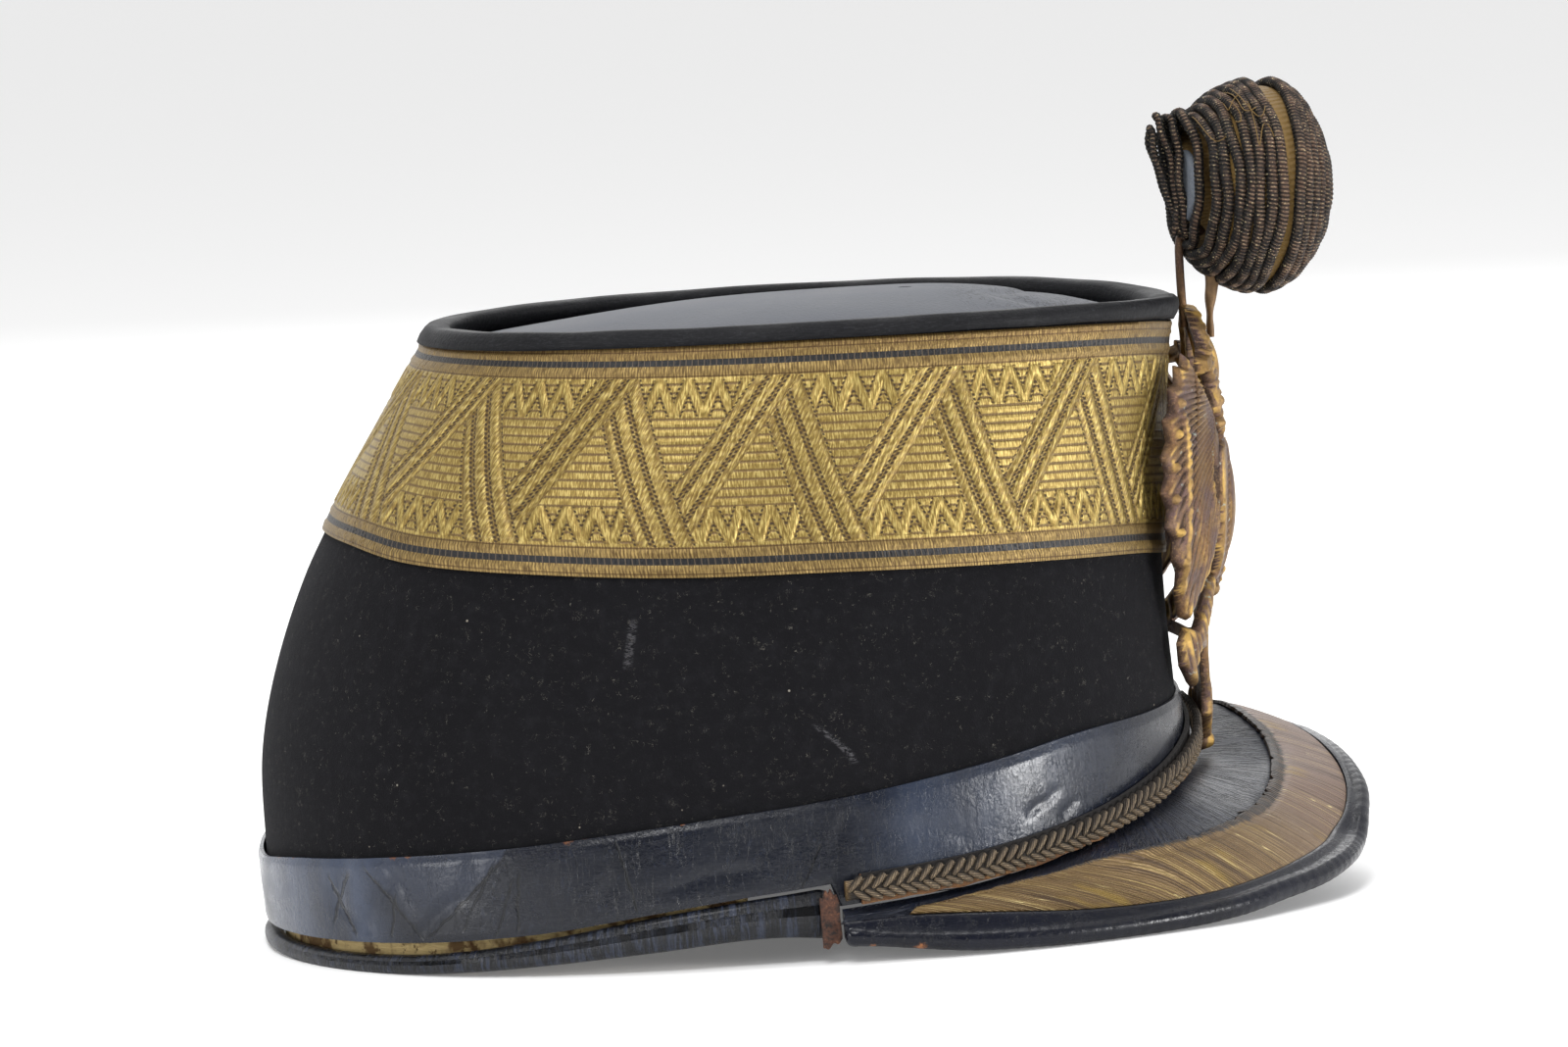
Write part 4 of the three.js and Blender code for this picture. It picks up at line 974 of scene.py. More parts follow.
def liningStrip():
    corner = bodySizes["cornerDeg"] + 8
    share = np.linspace(0, 1, lining["rows"])[None, :]

    def profile(deg):
        low = base(deg, "rollLow") + 0.5
        face = low + (lining["top"] - low) * share
        heights = np.concatenate([face, face[:, ::-1]], 1)
        return wallOffsets(lining["outside"], lining["inside"], lining["rows"]), heights

    degs = np.linspace(corner, 360 - corner, lining["stations"])
    piece = bodyRing("lining", degs, False, profile, sharp=60)
    look = Look("liningCloth", specularIorLevel=0.2)
    place = look.place()
    fibre = look.noise(look.stretched(place, 0.35, 0.35, 3.0), 1.0, 4, 0.7, 1.2)
    colour = look.mix(fibre, lining["dark"], lining["light"])
    colour = look.mix(ease(0.46, 0.56, look.noise(place, 0.07, 4, 0.7)) * 0.85, colour, lining["stain"])
    colour = look.mix(ease(0.58, 0.64, look.noise(place, 0.4, 4, 0.7)) * 0.8, colour, srgb(70, 44, 24))
    look.set(baseColor=colour, roughness=0.9 + fibre * 0.08, normal=look.bump(fibre, 0.8, 0.6))
    return finishPiece(piece, look, "lining_cloth", "lining_strip")


baseBand()
baseBinding()
liningStrip()
print("base made")


# Visor: leather, metal thread crescent and its bead

visorSizes = {
    "stations": 420, "columns": 36, "thick": 2.2, "folds": 0.35,
    "threadStations": 600, "thread": 0.8, "swell": 0.5,
    "beadStations": 900, "bead": 2.4,
    "leather": {"dark": srgb(7, 9, 15), "light": srgb(27, 34, 52), "rough": 0.3, "grainSize": 1.4,
                "wear": 0.08, "folds": 0.3, "shine": 0.35},
    "beadLeather": {"dark": srgb(5, 6, 10), "light": srgb(17, 20, 34), "rough": 0.16, "grainSize": 1.8,
                    "wear": 0.04, "folds": 0.25, "shine": 0.28},
    "bareSpots": ((122.5, -85.5, 5.5, 1.8), (128, -86.6, 3.5, 1.5), (118, -86.5, 4.5, 1.2)),
}
lastRow = len(visorRows["deg"]) - 1


def visorLines(t):  # four control lines over the whole visor at row numbers t
    rows = np.arange(lastRow + 1)
    degs = smooth(rows, visorRows["deg"], t)
    lines = [bodyPoint(degs, seam(degs), bodySizes["clearance"] + 0.1)]
    for letter in "iob":
        lines.append(np.stack([smooth(rows, visorRows[letter + axis], t) for axis in "xyz"], -1))
    return np.stack(lines, 1)


def between(lines, at):  # points on the lines at column numbers, one row of numbers for each station
    low = np.clip(np.floor(at).astype(int), 0, 2)
    part = (at - low)[..., None]
    rows = np.arange(len(lines))[:, None]
    return lines[rows, low] * (1 - part) + lines[rows, low + 1] * part


def upward(points):  # unit vectors square to a grid of points
    along, across = np.gradient(points, axis=0), np.gradient(points, axis=1)
    square = np.cross(across, along)
    return square / np.linalg.norm(square, axis=-1, keepdims=True)


def visorSheet(name, t, at, low, high):  # low and high: levels of the two faces; high may vary
    points = between(visorLines(t), at)
    normals = upward(points)
    top = points + normals * (high + 0.0 * at)[..., None]
    bottom = points + normals * low
    sections = np.concatenate([top, bottom[:, ::-1]], 1)
    along = lengths(points[:, points.shape[1] // 2])
    width = at.shape[1]
    flat = np.stack([np.repeat(along[:, None], width, 1), 100 * (at + np.zeros_like(points[..., 0]))], -1)
    uv = np.concatenate([flat, flat[:, ::-1], flat[:, :1]], 1)
    uv = np.concatenate([uv, uv[-1:]], 0)
    return sweep(name, sections, uv, False, 60)


def visorLeather():
    t = np.linspace(0, lastRow, visorSizes["stations"])
    lines = visorLines(t)
    gap = np.linalg.norm(lines[:, 3] - lines[:, 2], axis=-1)
    last = 3 - (0.8 * visorSizes["bead"] + 1.3 * bodySizes["clearance"]) / gap
    at = np.linspace(0, 1, visorSizes["columns"])[None, :] * last[:, None]
    folds = ripples(t[:, None] * 2.6 + at * 0.8, at * 1.5, 51) * visorSizes["folds"]
    folds = folds * ease(0, 0.25, at) * ease(1.0, 0.7, at)
    piece = visorSheet("visor_leather", t, at, -visorSizes["thick"], folds)
    look = leather("visorLeather", **visorSizes["leather"])
    run, across, _ = look.split(look.flat())
    lines = look.streaks(run * 0.42 + across * 0.02, across * 0.012, 4.0, 0.6)
    fine = look.streaks(run * 1.3, across * 0.03, 3.0, 0.6)
    deep = ease(0.06, 0.0, size(lines - 0.52))
    look.set(baseColor=look.mix(deep * 0.6, look.fed("Base Color"), srgb(22, 22, 26)),
             normal=look.bump(lines * 1.2 + fine * 0.5 - deep * 0.5, 0.6, 0.8))
    return finishPiece(piece, look, "visor_leather", "visor")


def visorThread():
    t = np.linspace(0.9, lastRow - 0.9, visorSizes["threadStations"])
    share = np.linspace(0, 1, 26)[None, :]
    ragged = ripples(t[:, None] * 14, 0 * share, 55, 9) * 0.05
    at = np.clip(1 + share + ragged * ease(0.25, 0, share), 1, 2)
    swell = visorSizes["swell"] * np.sin(math.pi * share) ** 0.6
    swell = swell + ripples(t[:, None] * 1.3, share * 2, 56) * 0.1
    groove = 0.25 * np.exp(-((share - 0.17) / 0.05) ** 2)  # between the fringe and the threads
    low = bodySizes["clearance"]
    piece = visorSheet("visor_thread", t, at, low, low + visorSizes["thread"] - 0.2 + swell - groove)
    return finishPiece(piece, threadLook(), "visor_thread", "visor_lace")


def threadLook():
    look = Look("visorThread", specularIorLevel=0.5)
    place = look.place()
    run, across, _ = look.split(look.flat())
    down = across / 100 - 1
    x, y, z = look.split(place)
    steep = ease(66, 78, size(y)) * 0.8 + 0.35  # the threads run along the hat and dip at its sides
    fan = size(y) - (z + x * 0.17 - 16.0) * steep * ease(10, 40, size(y))
    thread = size(fraction(fan / 0.55 + look.noise(place, 0.5) * 0.8) - 0.5) * 2
    strand = look.streaks(fan * 1.5, x * 0.02, 4.0, 0.75)
    broad = look.streaks(fan * 0.12, x * 0.03, 3.0)
    bright = look.streaks(fan * 0.45, x * 0.012)
    radial = look.streaks(run * 2.2, down * 3, 3.0)
    nearSide = ease(-62, -10, y)
    colour = look.mix(broad, srgb(122, 98, 56), srgb(92, 72, 48))
    colour = look.mix(nearSide * 0.85, colour, srgb(120, 100, 92))
    colour = look.mix(ease(0.54, 0.64, strand) * 0.55, colour, srgb(168, 146, 92))
    colour = look.mix(ease(0.48, 0.4, strand) * 0.8, colour, srgb(58, 42, 28))
    colour = look.mix(ease(0.62, 0.7, broad) * 0.5, colour, srgb(150, 124, 50))
    # thin painted highlights: glints along the metal threads
    colour = look.mix(ease(0.004, 0.001, size(bright - 0.6)) * 0.8, colour, srgb(226, 208, 150))
    stitches = look.mix(ease(0.5, 0.62, radial), srgb(20, 17, 17), srgb(78, 60, 40))
    wide = 0.03 + ease(-72, -30, y) * ease(72, 30, y) * 0.15
    fringe = ease(0.02, -0.02, down - wide + (radial - 0.5) * 0.2)
    colour = look.mix(fringe, colour, stitches)
    # painted shade in the grooves between the threads
    colour = look.mix(ease(0.5, 1.0, thread) * 0.45, colour, srgb(70, 50, 32))
    look.set(baseColor=colour, metallic=(1 - fringe) * (0.4 - nearSide * 0.3), roughness=0.5 - strand * 0.15,
             normal=look.bump(strand * 1.2 - thread * 0.5, 0.7, 0.5))
    return look


def visorBead():
    t = np.linspace(0, lastRow, visorSizes["beadStations"])
    lines = visorLines(t)
    normals = upward(between(lines, np.linspace(2, 3, 8)[None, :] + 0 * t[:, None]))
    bead, up = lines[:, 3], normals[:, -1]
    out = bead - lines[:, 2]
    out = out / np.linalg.norm(out, axis=-1, keepdims=True)
    run = lengths(bead)
    stitches = 0.012 * np.sin(run * 2.1 + 3 * np.sin(run / 7))
    near = np.clip(np.minimum(run, run[-1] - run) / 2.4, 0, 1)
    radius = visorSizes["bead"] * (1 + stitches + 0.025 * ripples(run / 4, 0, 61))
    radius = radius * (0.3 + 0.7 * np.sqrt(1 - (1 - near) ** 2))
    gap = bodySizes["clearance"]
    lip = lines[:, 2] + out * 0.3
    lipEnd = between(lines, 2.5 + 0 * t[:, None])[:, 0]
    sections = [lip + normals[:, 0] * gap, lip + normals[:, 0] * (gap + 0.8),
                lip + out * 0.4 + normals[:, 0] * (gap + 1.1),
                (lip + lipEnd) / 2 + normals[:, 3] * (gap + 1.25), lipEnd + up * (gap + 1.15)]
    angles = np.radians(np.linspace(128, -235, 26))
    last = int(np.argmax(angles < math.radians(-150)))
    for angle in angles[:last + 1]:
        squash = 0.8 if math.cos(angle) < 0 else 1.0
        ring = out * (math.cos(angle) * squash) + up * math.sin(angle)
        sections.append(bead + ring * radius[:, None])
    sections.append(bead - out * 0.8 * visorSizes["bead"] + up * 0.1 * visorSizes["bead"])
    sections.append(lipEnd + out * 0.2 + up * gap)
    sections = np.stack(sections, 1)
    sections[..., 2] = np.maximum(sections[..., 2], 0.05)
    piece = sweep("bead_skin", sections, ringUv(sections, False), False, 50)
    look = leather("beadLeather", **visorSizes["beadLeather"])
    cracked(look)
    worn(look, visorSizes["bareSpots"], srgb(150, 96, 56))
    return finishPiece(piece, look, "bead_leather", "visor_binding")


visorLeather()
visorThread()
visorBead()
print("visor made")


# What repeats: units set on spots by a node group, joined with the piece's own core

def repeatTree():
    tree = bpy.data.node_groups.new("repeatOnSpots", "GeometryNodeTree")
    tree.is_modifier = True
    for name, kind in (("Core", "Geometry"), ("Spots", "Object"), ("Unit", "Object"), ("Size", "Float"),
                       ("Material", "Material")):
        tree.interface.new_socket(name, in_out="INPUT", socket_type="NodeSocket" + kind)
    tree.interface.new_socket("Geometry", in_out="OUTPUT", socket_type="NodeSocketGeometry")
    add, link = tree.nodes.new, tree.links.new
    start, end = add("NodeGroupInput"), add("NodeGroupOutput")
    spots, unit = add("GeometryNodeObjectInfo"), add("GeometryNodeObjectInfo")
    points, place = add("GeometryNodeMeshToPoints"), add("GeometryNodeInstanceOnPoints")
    turn, stretch = add("GeometryNodeInputNamedAttribute"), add("GeometryNodeInputNamedAttribute")
    turn.data_type = stretch.data_type = "FLOAT_VECTOR"
    turn.inputs["Name"].default_value, stretch.inputs["Name"].default_value = "turn", "stretch"
    grow = add("ShaderNodeVectorMath")
    grow.operation = "SCALE"
    real, joined = add("GeometryNodeRealizeInstances"), add("GeometryNodeJoinGeometry")
    paint = add("GeometryNodeSetMaterial")
    for output, socket in (
            (start.outputs["Spots"], spots.inputs["Object"]),
            (start.outputs["Unit"], unit.inputs["Object"]),
            (spots.outputs["Geometry"], points.inputs["Mesh"]),
            (points.outputs["Points"], place.inputs["Points"]),
            (unit.outputs["Geometry"], place.inputs["Instance"]),
            (turn.outputs["Attribute"], place.inputs["Rotation"]),
            (stretch.outputs["Attribute"], grow.inputs[0]),
            (start.outputs["Size"], grow.inputs["Scale"]),
            (grow.outputs[0], place.inputs["Scale"]),
            (place.outputs["Instances"], real.inputs["Geometry"]),
            (real.outputs["Geometry"], joined.inputs["Geometry"]),
            (start.outputs["Core"], joined.inputs["Geometry"]),
            (joined.outputs["Geometry"], paint.inputs["Geometry"]),
            (start.outputs["Material"], paint.inputs["Material"]),
            (paint.outputs["Geometry"], end.inputs["Geometry"])):
        link(output, socket)
    return tree


repeatOnSpots = repeatTree()


def eulers(along, up):  # turns that bring x to along and z to up
    found = []
    for forward, above in zip(along, up):
        forward = Vector(forward).normalized()
        side = Vector(above).cross(forward).normalized()
        above = forward.cross(side)
        found.append(tuple(Matrix((forward, side, above)).transposed().to_euler()))
    return np.array(found)


def repeated(core, unit, spots, turns, stretch, look):
    mesh = bpy.data.meshes.new("spots")
    place = (np.asarray(spots, float) - (middleX, 0, 0)) * mm
    mesh.vertices.add(len(place))
    mesh.vertices.foreach_set("co", place.reshape(-1))
    for name, values in (("turn", turns), ("stretch", stretch)):
        layer = mesh.attributes.new(name, "FLOAT_VECTOR", "POINT")
        layer.data.foreach_set("vector", np.asarray(values, float).reshape(-1))
    holder = bpy.data.objects.new("spots", mesh)
    bpy.context.scene.collection.objects.link(holder)
    modifier = core.modifiers.new("repeat", "NODES")
    modifier.node_group = repeatOnSpots
    sockets = repeatOnSpots.interface.items_tree
    names = {item.name: item.identifier for item in sockets if item.in_out == "INPUT"}
    modifier[names["Spots"]], modifier[names["Unit"]] = holder, unit
    modifier[names["Size"]], modifier[names["Material"]] = 1.0, look.material
    made = bpy.data.meshes.new_from_object(core.evaluated_get(bpy.context.evaluated_depsgraph_get()))
    core.modifiers.remove(modifier)
    core.data = made
    for extra in (holder, unit):
        bpy.data.objects.remove(extra)
    return core


def pill(name, long, wide, high, segments=10, rings=6):  # rounded unit along x, in millimetres, at the origin
    points = [(-long / 2, 0, 0)]
    for angle in np.linspace(-math.pi / 2, math.pi / 2, rings + 2)[1:-1]:
        swell = math.cos(angle) ** 0.6 / 2
        points += [(long / 2 * math.sin(angle), wide * swell * math.cos(a), high * swell * math.sin(a))
                   for a in circle(segments)]
    points.append((long / 2, 0, 0))
    faces = []
    for k in range(segments):
        n = (k + 1) % segments
        faces.append([0, 1 + n, 1 + k])
        for r in range(rings - 1):
            a, b = 1 + r * segments, 1 + (r + 1) * segments
            faces.append([a + k, a + n, b + n, b + k])
        last = 1 + (rings - 1) * segments
        faces.append([last + k, last + n, len(points) - 1])
    unrolled = [(x + long / 2, 0.5 * wide * math.atan2(z, y)) for x, y, z in points]
    flat = [unrolled[v] for face in faces for v in face]
    return meshPiece(name, np.array(points) + (middleX, 0, 0), faces, flat)


# Braid above the visor, its backing and the torn tab

braid = {
    "stations": 300, "half": 2.15, "depth": 0.85, "pitch": 2.55, "slants": (44, -32), "rowApart": 1.28,
    "strand": (4.5, 1.55, 2.2),  # length, width and height of one strand
    # fuzz is the colour of pale fibres that also serve as a painted highlight
    "light": srgb(134, 116, 92), "dark": srgb(84, 70, 56), "fuzz": srgb(186, 168, 134),
    # gap is painted shade between the threads and strands
    "gap": srgb(28, 21, 18)}


def braidCord():
    end = bodySizes["cornerDeg"] - 1
    inside = 3 * bodySizes["clearance"] + band["thick"] + backing["thick"]
    turn = circle(10)

    def profile(deg):
        offsets = inside + braid["depth"] * (1 + np.cos(turn))
        return offsets[None, :], seam(deg, "braid") + braid["half"] * np.sin(turn)[None, :]

    core = bodyRing("braid", np.linspace(-end, end, braid["stations"]), False, profile)
    fine = np.linspace(-end + 0.6, end - 0.6, 2000)
    line = bodyPoint(fine, seam(fine, "braid"), inside + 1.35)
    run = lengths(line)
    spots, along, up, stretch = [], [], [], []
    draw = random.Random(7)
    for row, slant in enumerate(braid["slants"]):
        side = 1 if row == 0 else -1
        for at in np.arange(0.8 + row * braid["pitch"] / 2, run[-1] - 0.8, braid["pitch"]):
            here, ahead = (np.array([np.interp(spot, run, line[:, k]) for k in range(3)])
                           for spot in (at, at + 0.5))
            forward = (ahead - here) / np.linalg.norm(ahead - here)
            out = outwards(here[None, :])[0]
            out = out - forward * np.dot(out, forward)
            out = out / np.linalg.norm(out)
            high = np.cross(forward, out)
            high = high * np.sign(high[2])
            tilt = math.radians(slant + draw.uniform(-5, 5))
            spots.append(here + high * side * braid["rowApart"] + out * draw.uniform(-0.05, 0.12))
            along.append(forward * math.cos(tilt) + high * math.sin(tilt))
            up.append(out)
            stretch.append((draw.uniform(0.93, 1.05), draw.uniform(0.92, 1.08), draw.uniform(0.9, 1.05)))
    look = braidLook()
    piece = repeated(core, pill("strand", *braid["strand"]), spots, eulers(along, up), stretch, look)
    return finishPiece(piece, look, "braid_thread", "braid_cord")


def braidLook():
    look = Look("braidThread", specularIorLevel=0.45)
    place = look.place()
    x, _, _ = look.split(place)
    run, across, _ = look.split(look.flat())
    thread = size(fraction(across / 0.5 + run * 0.7) - 0.5) * 2
    fuzz = look.noise(place, 2.4, 4, 0.8)
    colour = look.mix(look.noise(place, 0.12, 4, 0.7), braid["light"], braid["dark"])
    # pale fuzz on the strands, partly a painted highlight
    colour = look.mix(ease(0.52, 0.66, fuzz) * 0.7, colour, braid["fuzz"])
    # painted shade in the grooves between the threads
    colour = look.mix(ease(0.4, 0.9, thread) * 0.8, colour, braid["gap"])
    # painted shade on the inner sides of the strands
    colour = look.mix(ease(1.3, 2.2, size(across - 2.7)) * 0.9, colour, srgb(16, 12, 11))
    colour = look.mix(ease(-3.4, -6, x) * fuzz, colour, srgb(150, 116, 58))
    look.set(baseColor=colour, metallic=fuzz * 0.4, roughness=0.55 + fuzz * 0.2,
             normal=look.bump(thread * -0.6 + fuzz, 0.7, 0.35))
    return look


backing = {"stations": 380, "rows": 8, "thick": 0.9, "ragged": 0.25,
           "light": srgb(140, 98, 60), "dark": srgb(74, 48, 32), "frayed": srgb(204, 158, 92)}


def braidBacking():
    end = bodySizes["cornerDeg"] - 3
    inside = 2 * bodySizes["clearance"] + band["thick"]
    share = np.linspace(0, 1, backing["rows"])[None, :]

    def profile(deg):
        low = seam(deg) + 0.8 + ripples(deg, 0 * deg, 71) * backing["ragged"]
        face = low + (seam(deg, "braid") + 2.9 - low) * share
        heights = np.concatenate([face, face[:, ::-1]], 1)
        return wallOffsets(inside + backing["thick"], inside, backing["rows"]), heights

    piece = bodyRing("backing_skin", np.linspace(-end, end, backing["stations"]), False, profile, sharp=60)
    look = Look("backingLeather")
    place = look.place()
    x, _, _ = look.split(place)
    _, across, _ = look.split(look.flat())
    fibre = look.noise(look.stretched(place, 0.7, 0.7, 2.4), 1.0, 4, 0.7)
    colour = look.mix(look.noise(place, 0.14, 4, 0.6), backing["light"], backing["dark"])
    colour = look.mix(ease(0.56, 0.7, fibre) * 0.6, colour, backing["frayed"])
    colour = look.mix(ease(48, 62, x) * 0.4, colour, srgb(120, 94, 50))
    colour = look.mix(ease(3.4, 4.4, across + fibre * 0.8), colour, srgb(22, 18, 17))
    look.set(baseColor=colour, roughness=0.7 + fibre * 0.2, normal=look.bump(fibre, 0.7, 0.5))
    return finishPiece(piece, look, "backing_leather", "braid_backing")


tab = {"stations": 20, "rows": 22, "from": -85.6, "to": -83.6, "low": 3.2, "top": 15.4,
       "dark": srgb(22, 14, 12), "light": srgb(78, 48, 34), "torn": srgb(132, 92, 66)}


def cornerTab():
    share = np.linspace(0, 1, tab["rows"])[None, :]

    def profile(deg):  # torn low and top ends, curled outwards
        low = tab["low"] + (deg - tab["from"]) * 0.9 + 0.35 * np.sin(deg * 6)
        top = tab["top"] - (deg + 84.6) ** 2 * 2.2 + 0.5 * np.sin(deg * 11)
        face = low + (top - low) * share
        heights = np.concatenate([face, face[:, ::-1]], 1)
        curl = 3.3 - 0.5 * share[0] ** 2 + 0.22 * np.sin(share[0] * 9)
        return np.concatenate([curl, np.linspace(2.1, 2.5, tab["rows"])])[None, :], heights

    degs = np.linspace(tab["from"], tab["to"], tab["stations"])
    piece = bodyRing("torn_tab", degs, False, profile, sharp=60)
    look = Look("tabLeather")
    torn = look.noise(look.place(), 0.7, 5, 0.75)
    colour = look.mix(ease(0.35, 0.6, torn), tab["dark"], tab["light"])
    colour = look.mix(ease(0.58, 0.72, torn) * 0.8, colour, tab["torn"])
    look.set(baseColor=colour, roughness=0.75 + torn * 0.2, normal=look.bump(torn, 0.8, 0.7))
    return finishPiece(piece, look, "tab_leather", "corner_tab")


braidCord()
braidBacking()
cornerTab()
print("braid made")


# Eagle plate: relief on a fine grid, pierced, with smooth edges

plateRows = table("z x", [(28, 203.4), (47, 204.0), (64, 205.0), (74, 207.4), (88, 208.4), (104, 208.2),
                          (118, 206.2), (128, 203.8), (146, 203.8)])
plateSizes = {
    "bend": 0.0118, "thick": 1.3, "cell": 0.42,
    "reach": (41, 27.5, 142),  # half width, low and high end of the grid
    "hanger": ((204.6, 0, 122), (204.3, 0, 130), (204.2, 0, 136), (204.3, 0, 140), (205.0, 0, 142.4),
               (206.8, 0, 143.6), (208.6, 0, 143.4), (209.6, 0, 142.2)),
    "hangerHalf": (0.95, 1.15),
    # gilt is the bright colour of the raised crests, partly rubbed metal and partly a painted highlight
    "warm": srgb(108, 80, 54), "dull": srgb(92, 72, 70), "gilt": srgb(196, 160, 88), "deep": srgb(40, 27, 22)}
outlines = {  # right half of every part in y and z, drawn up to the middle line
    "crown": [(-1, 127.6), (3.4, 126), (8.2, 122), (10.9, 116.4), (10.8, 111), (8.6, 106.6), (5, 104.6),
              (-1, 104.6)],
    "crownHole": [(2.5, 121.6), (5.6, 118.6), (7.9, 114), (6.9, 109.6), (3.4, 108.2), (2.7, 114)],
    "wing": [(9, 100), (13, 104), (19, 110), (25, 118.3), (27.2, 115.6), (29.6, 116.2), (30.9, 112.4),
             (33.4, 111.4), (34.0, 107.0), (36.8, 105), (36.4, 100.4), (38.4, 97.2), (37.3, 93.3),
             (38.8, 89.6), (37.0, 85.9), (37.6, 82), (35.4, 78.9), (35.2, 74.8), (33.0, 71.9), (31.8, 67.6),
             (28.6, 61.6), (24.8, 60.4), (20.5, 66), (15.5, 74), (11.5, 86)],
    "wingHole": [(13.9, 91), (17.4, 96.4), (18.2, 91), (16.4, 85.4), (14.3, 86.4)],
    "neck": [(4, 99), (8, 97), (12, 104), (11.4, 110), (14.5, 113.2), (18.8, 112.6), (17.2, 116.2),
             (12.5, 117.4), (8.6, 114.5), (7.4, 109), (7, 104)],
    "shield": [(-1, 99), (7.5, 98), (12.4, 95.5), (13, 84), (11.4, 74), (7.4, 67), (2.5, 63.4), (-1, 62.4)],
    "claw": [(5.5, 70), (11, 68), (17.6, 61.5), (21.5, 58), (26.6, 59.4), (29, 56), (28.2, 51), (24.6, 47),
             (21, 44.8), (22.6, 49.4), (19.6, 53.4), (13.6, 57.4), (8, 61.5)],
    "bridge": [(2, 52.6), (9, 52), (19, 53.6), (19.4, 56.4), (9, 55), (2, 55.6)],
    "tail": [(-1, 66), (4.6, 65), (5.4, 60.5), (3, 56.5), (2.4, 50.5), (4.4, 46), (8.4, 41), (9, 37.5),
             (6, 35.8), (4.4, 34), (3.4, 32), (-1, 30)],
    "strap": [(-1, 119), (1.15, 119), (1.15, 127), (-1, 127)],
}
reliefRows = table("rise pillow reach", [(1.2, 0.9, 1.8), (0.0, 0.35, 2.2), (1.1, 1.0, 2.4), (1.4, 0.9, 5.0),
                                         (0.5, 0.9, 3.0), (0.0, 0.3, 1.4), (0.4, 0.8, 2.6), (0.0, 0.2, 0.8)])
reliefParts = ["crown", "wing", "neck", "shield", "claw", "bridge", "tail", "strap"]
balls = table("y z wide rise", [(31.8, 108.2, 1.1, 1.7), (34.2, 101.8, 1.1, 1.7), (35.8, 94.8, 1.1, 1.7),
                                (36.0, 88.0, 1.1, 1.7), (34.6, 80.6, 1.1, 1.7), (32.4, 73.8, 1.1, 1.7),
                                (0, 30.9, 2.2, 2.0), (9.6, 106.4, 1.8, 2.6), (11.2, 101.6, 1.6, 2.4),
                                (4.6, 64.6, 2.0, 2.6), (12.4, 117.2, 1.1, 2.2)])


def outlineDistance(y, z, outline):  # inside positive
    points = np.array(outline, float)
    y, z = y[..., None], z[..., None]
    ay, az = points[:, 0], points[:, 1]
    by, bz = np.roll(ay, -1), np.roll(az, -1)
    ey, ez = by - ay, bz - az
    part = np.clip(((y - ay) * ey + (z - az) * ez) / (ey ** 2 + ez ** 2), 0, 1)
    away = np.sqrt((y - ay - part * ey) ** 2 + (z - az - part * ez) ** 2).min(-1)
    crosses = ((az > z) != (bz > z)) & (y < ay + (z - az) / np.where(ez == 0, 1e-9, ez) * ey)
    return np.where(crosses.sum(-1) % 2 == 1, away, -away)


def dome(share):  # quarter of a round from 0 at its edge to 1
    return np.sqrt(np.clip(1 - (1 - np.clip(share, 0, 1)) ** 2, 0, 1))


def partRelief(part, side, z, away):  # small forms on one part of the plate
    if part == "wing":
        return feathers(side, z, away)
    if part == "neck":
        return 0.22 * np.sin(z * 2.6 + side * 1.6) * ease(0, 1.5, away)
    if part == "claw":
        return 0.3 * np.sin(side * 2.4 - z * 0.9) * ease(0, 1.2, away)
    if part == "crown":
        return 0.35 * ease(0.45, 0.6, size(fraction(z / 2.4) - 0.5) * 2) * ease(0.3, 0.9, away)
    if part == "tail":
        return 0.3 * np.cos(side * 3.2) * ease(0, 1, away) * ease(46, 42, z)
    if part == "shield":
        oval = np.sqrt((side / 6.4) ** 2 + ((z - 82.5) / 12.4) ** 2)
        medal = np.sqrt(side ** 2 + ((z - 67.2) * 0.9) ** 2)
        beads = (0.5 + 0.5 * np.cos(z * 3.6)) * np.exp(-((oval - 1.38) / 0.08) ** 2)
        return (2.2 * np.sqrt(np.clip(1 - oval ** 2, 0, 1)) + 0.7 * np.exp(-((oval - 1.16) / 0.07) ** 2)
                + 0.55 * beads + 1.1 * np.sqrt(np.clip(1 - (medal / 3.3) ** 2, 0, 1)))
    return 0.0


def plateField(y, z):  # distance inside the outline and height of the relief
    side = np.abs(y)
    inside = np.full(y.shape, -99.0)
    height = np.zeros(y.shape)
    for part, rise, pillow, reach in zip(reliefParts, *reliefRows.values()):
        away = outlineDistance(side, z, outlines[part])
        if part + "Hole" in outlines:
            away = np.minimum(away, -outlineDistance(side, z, outlines[part + "Hole"]))
        top = rise + pillow * dome(away / reach) + partRelief(part, side, z, away)
        height = np.where(away > 0, np.maximum(height, top), height)
        inside = np.maximum(inside, away)
    neckRidge = np.sqrt((side / 3.1) ** 2 + ((z - 114.8) / 7.6) ** 2)
    ridge = 3.6 * np.sqrt(np.clip(1 - neckRidge ** 2, 0, 1))
    height = np.where(inside > 0, np.maximum(height, ridge), height)
    for by, bz, wide, rise in zip(*balls.values()):
        away = wide - np.sqrt((side - by) ** 2 + (z - bz) ** 2)
        height = np.where(away > 0, np.maximum(height, rise * dome(away / wide) + 0.3), height)
        inside = np.maximum(inside, away)
    return inside, height


def feathers(side, z, away):  # long barbs that spread from the shoulder, and a raised quill line
    far = np.hypot(z - 108, side - 3)
    fan = np.arctan2(z - 108, side - 3) - 0.16 * np.sin(far / 14)
    barbs = (0.5 + 0.5 * np.cos(fan * math.tau / 0.054)) * ease(8, 20, far)
    barbs = barbs * (0.75 + 0.25 * np.sin(far / 2.3 + fan * 9))
    rows = ease(0.0, 0.12, fraction((side - 9 + 0.3 * (z - 88)) / 11)) * 0.3
    quill = np.exp(-((side - 31.2 - 0.9 * np.sin((z - 60) / 16)) / 0.8) ** 2)
    quill = quill * ease(61, 66, z) * ease(108, 103, z)
    return (barbs * 0.62 + rows) * ease(0.1, 1.4, away) + quill * 0.9


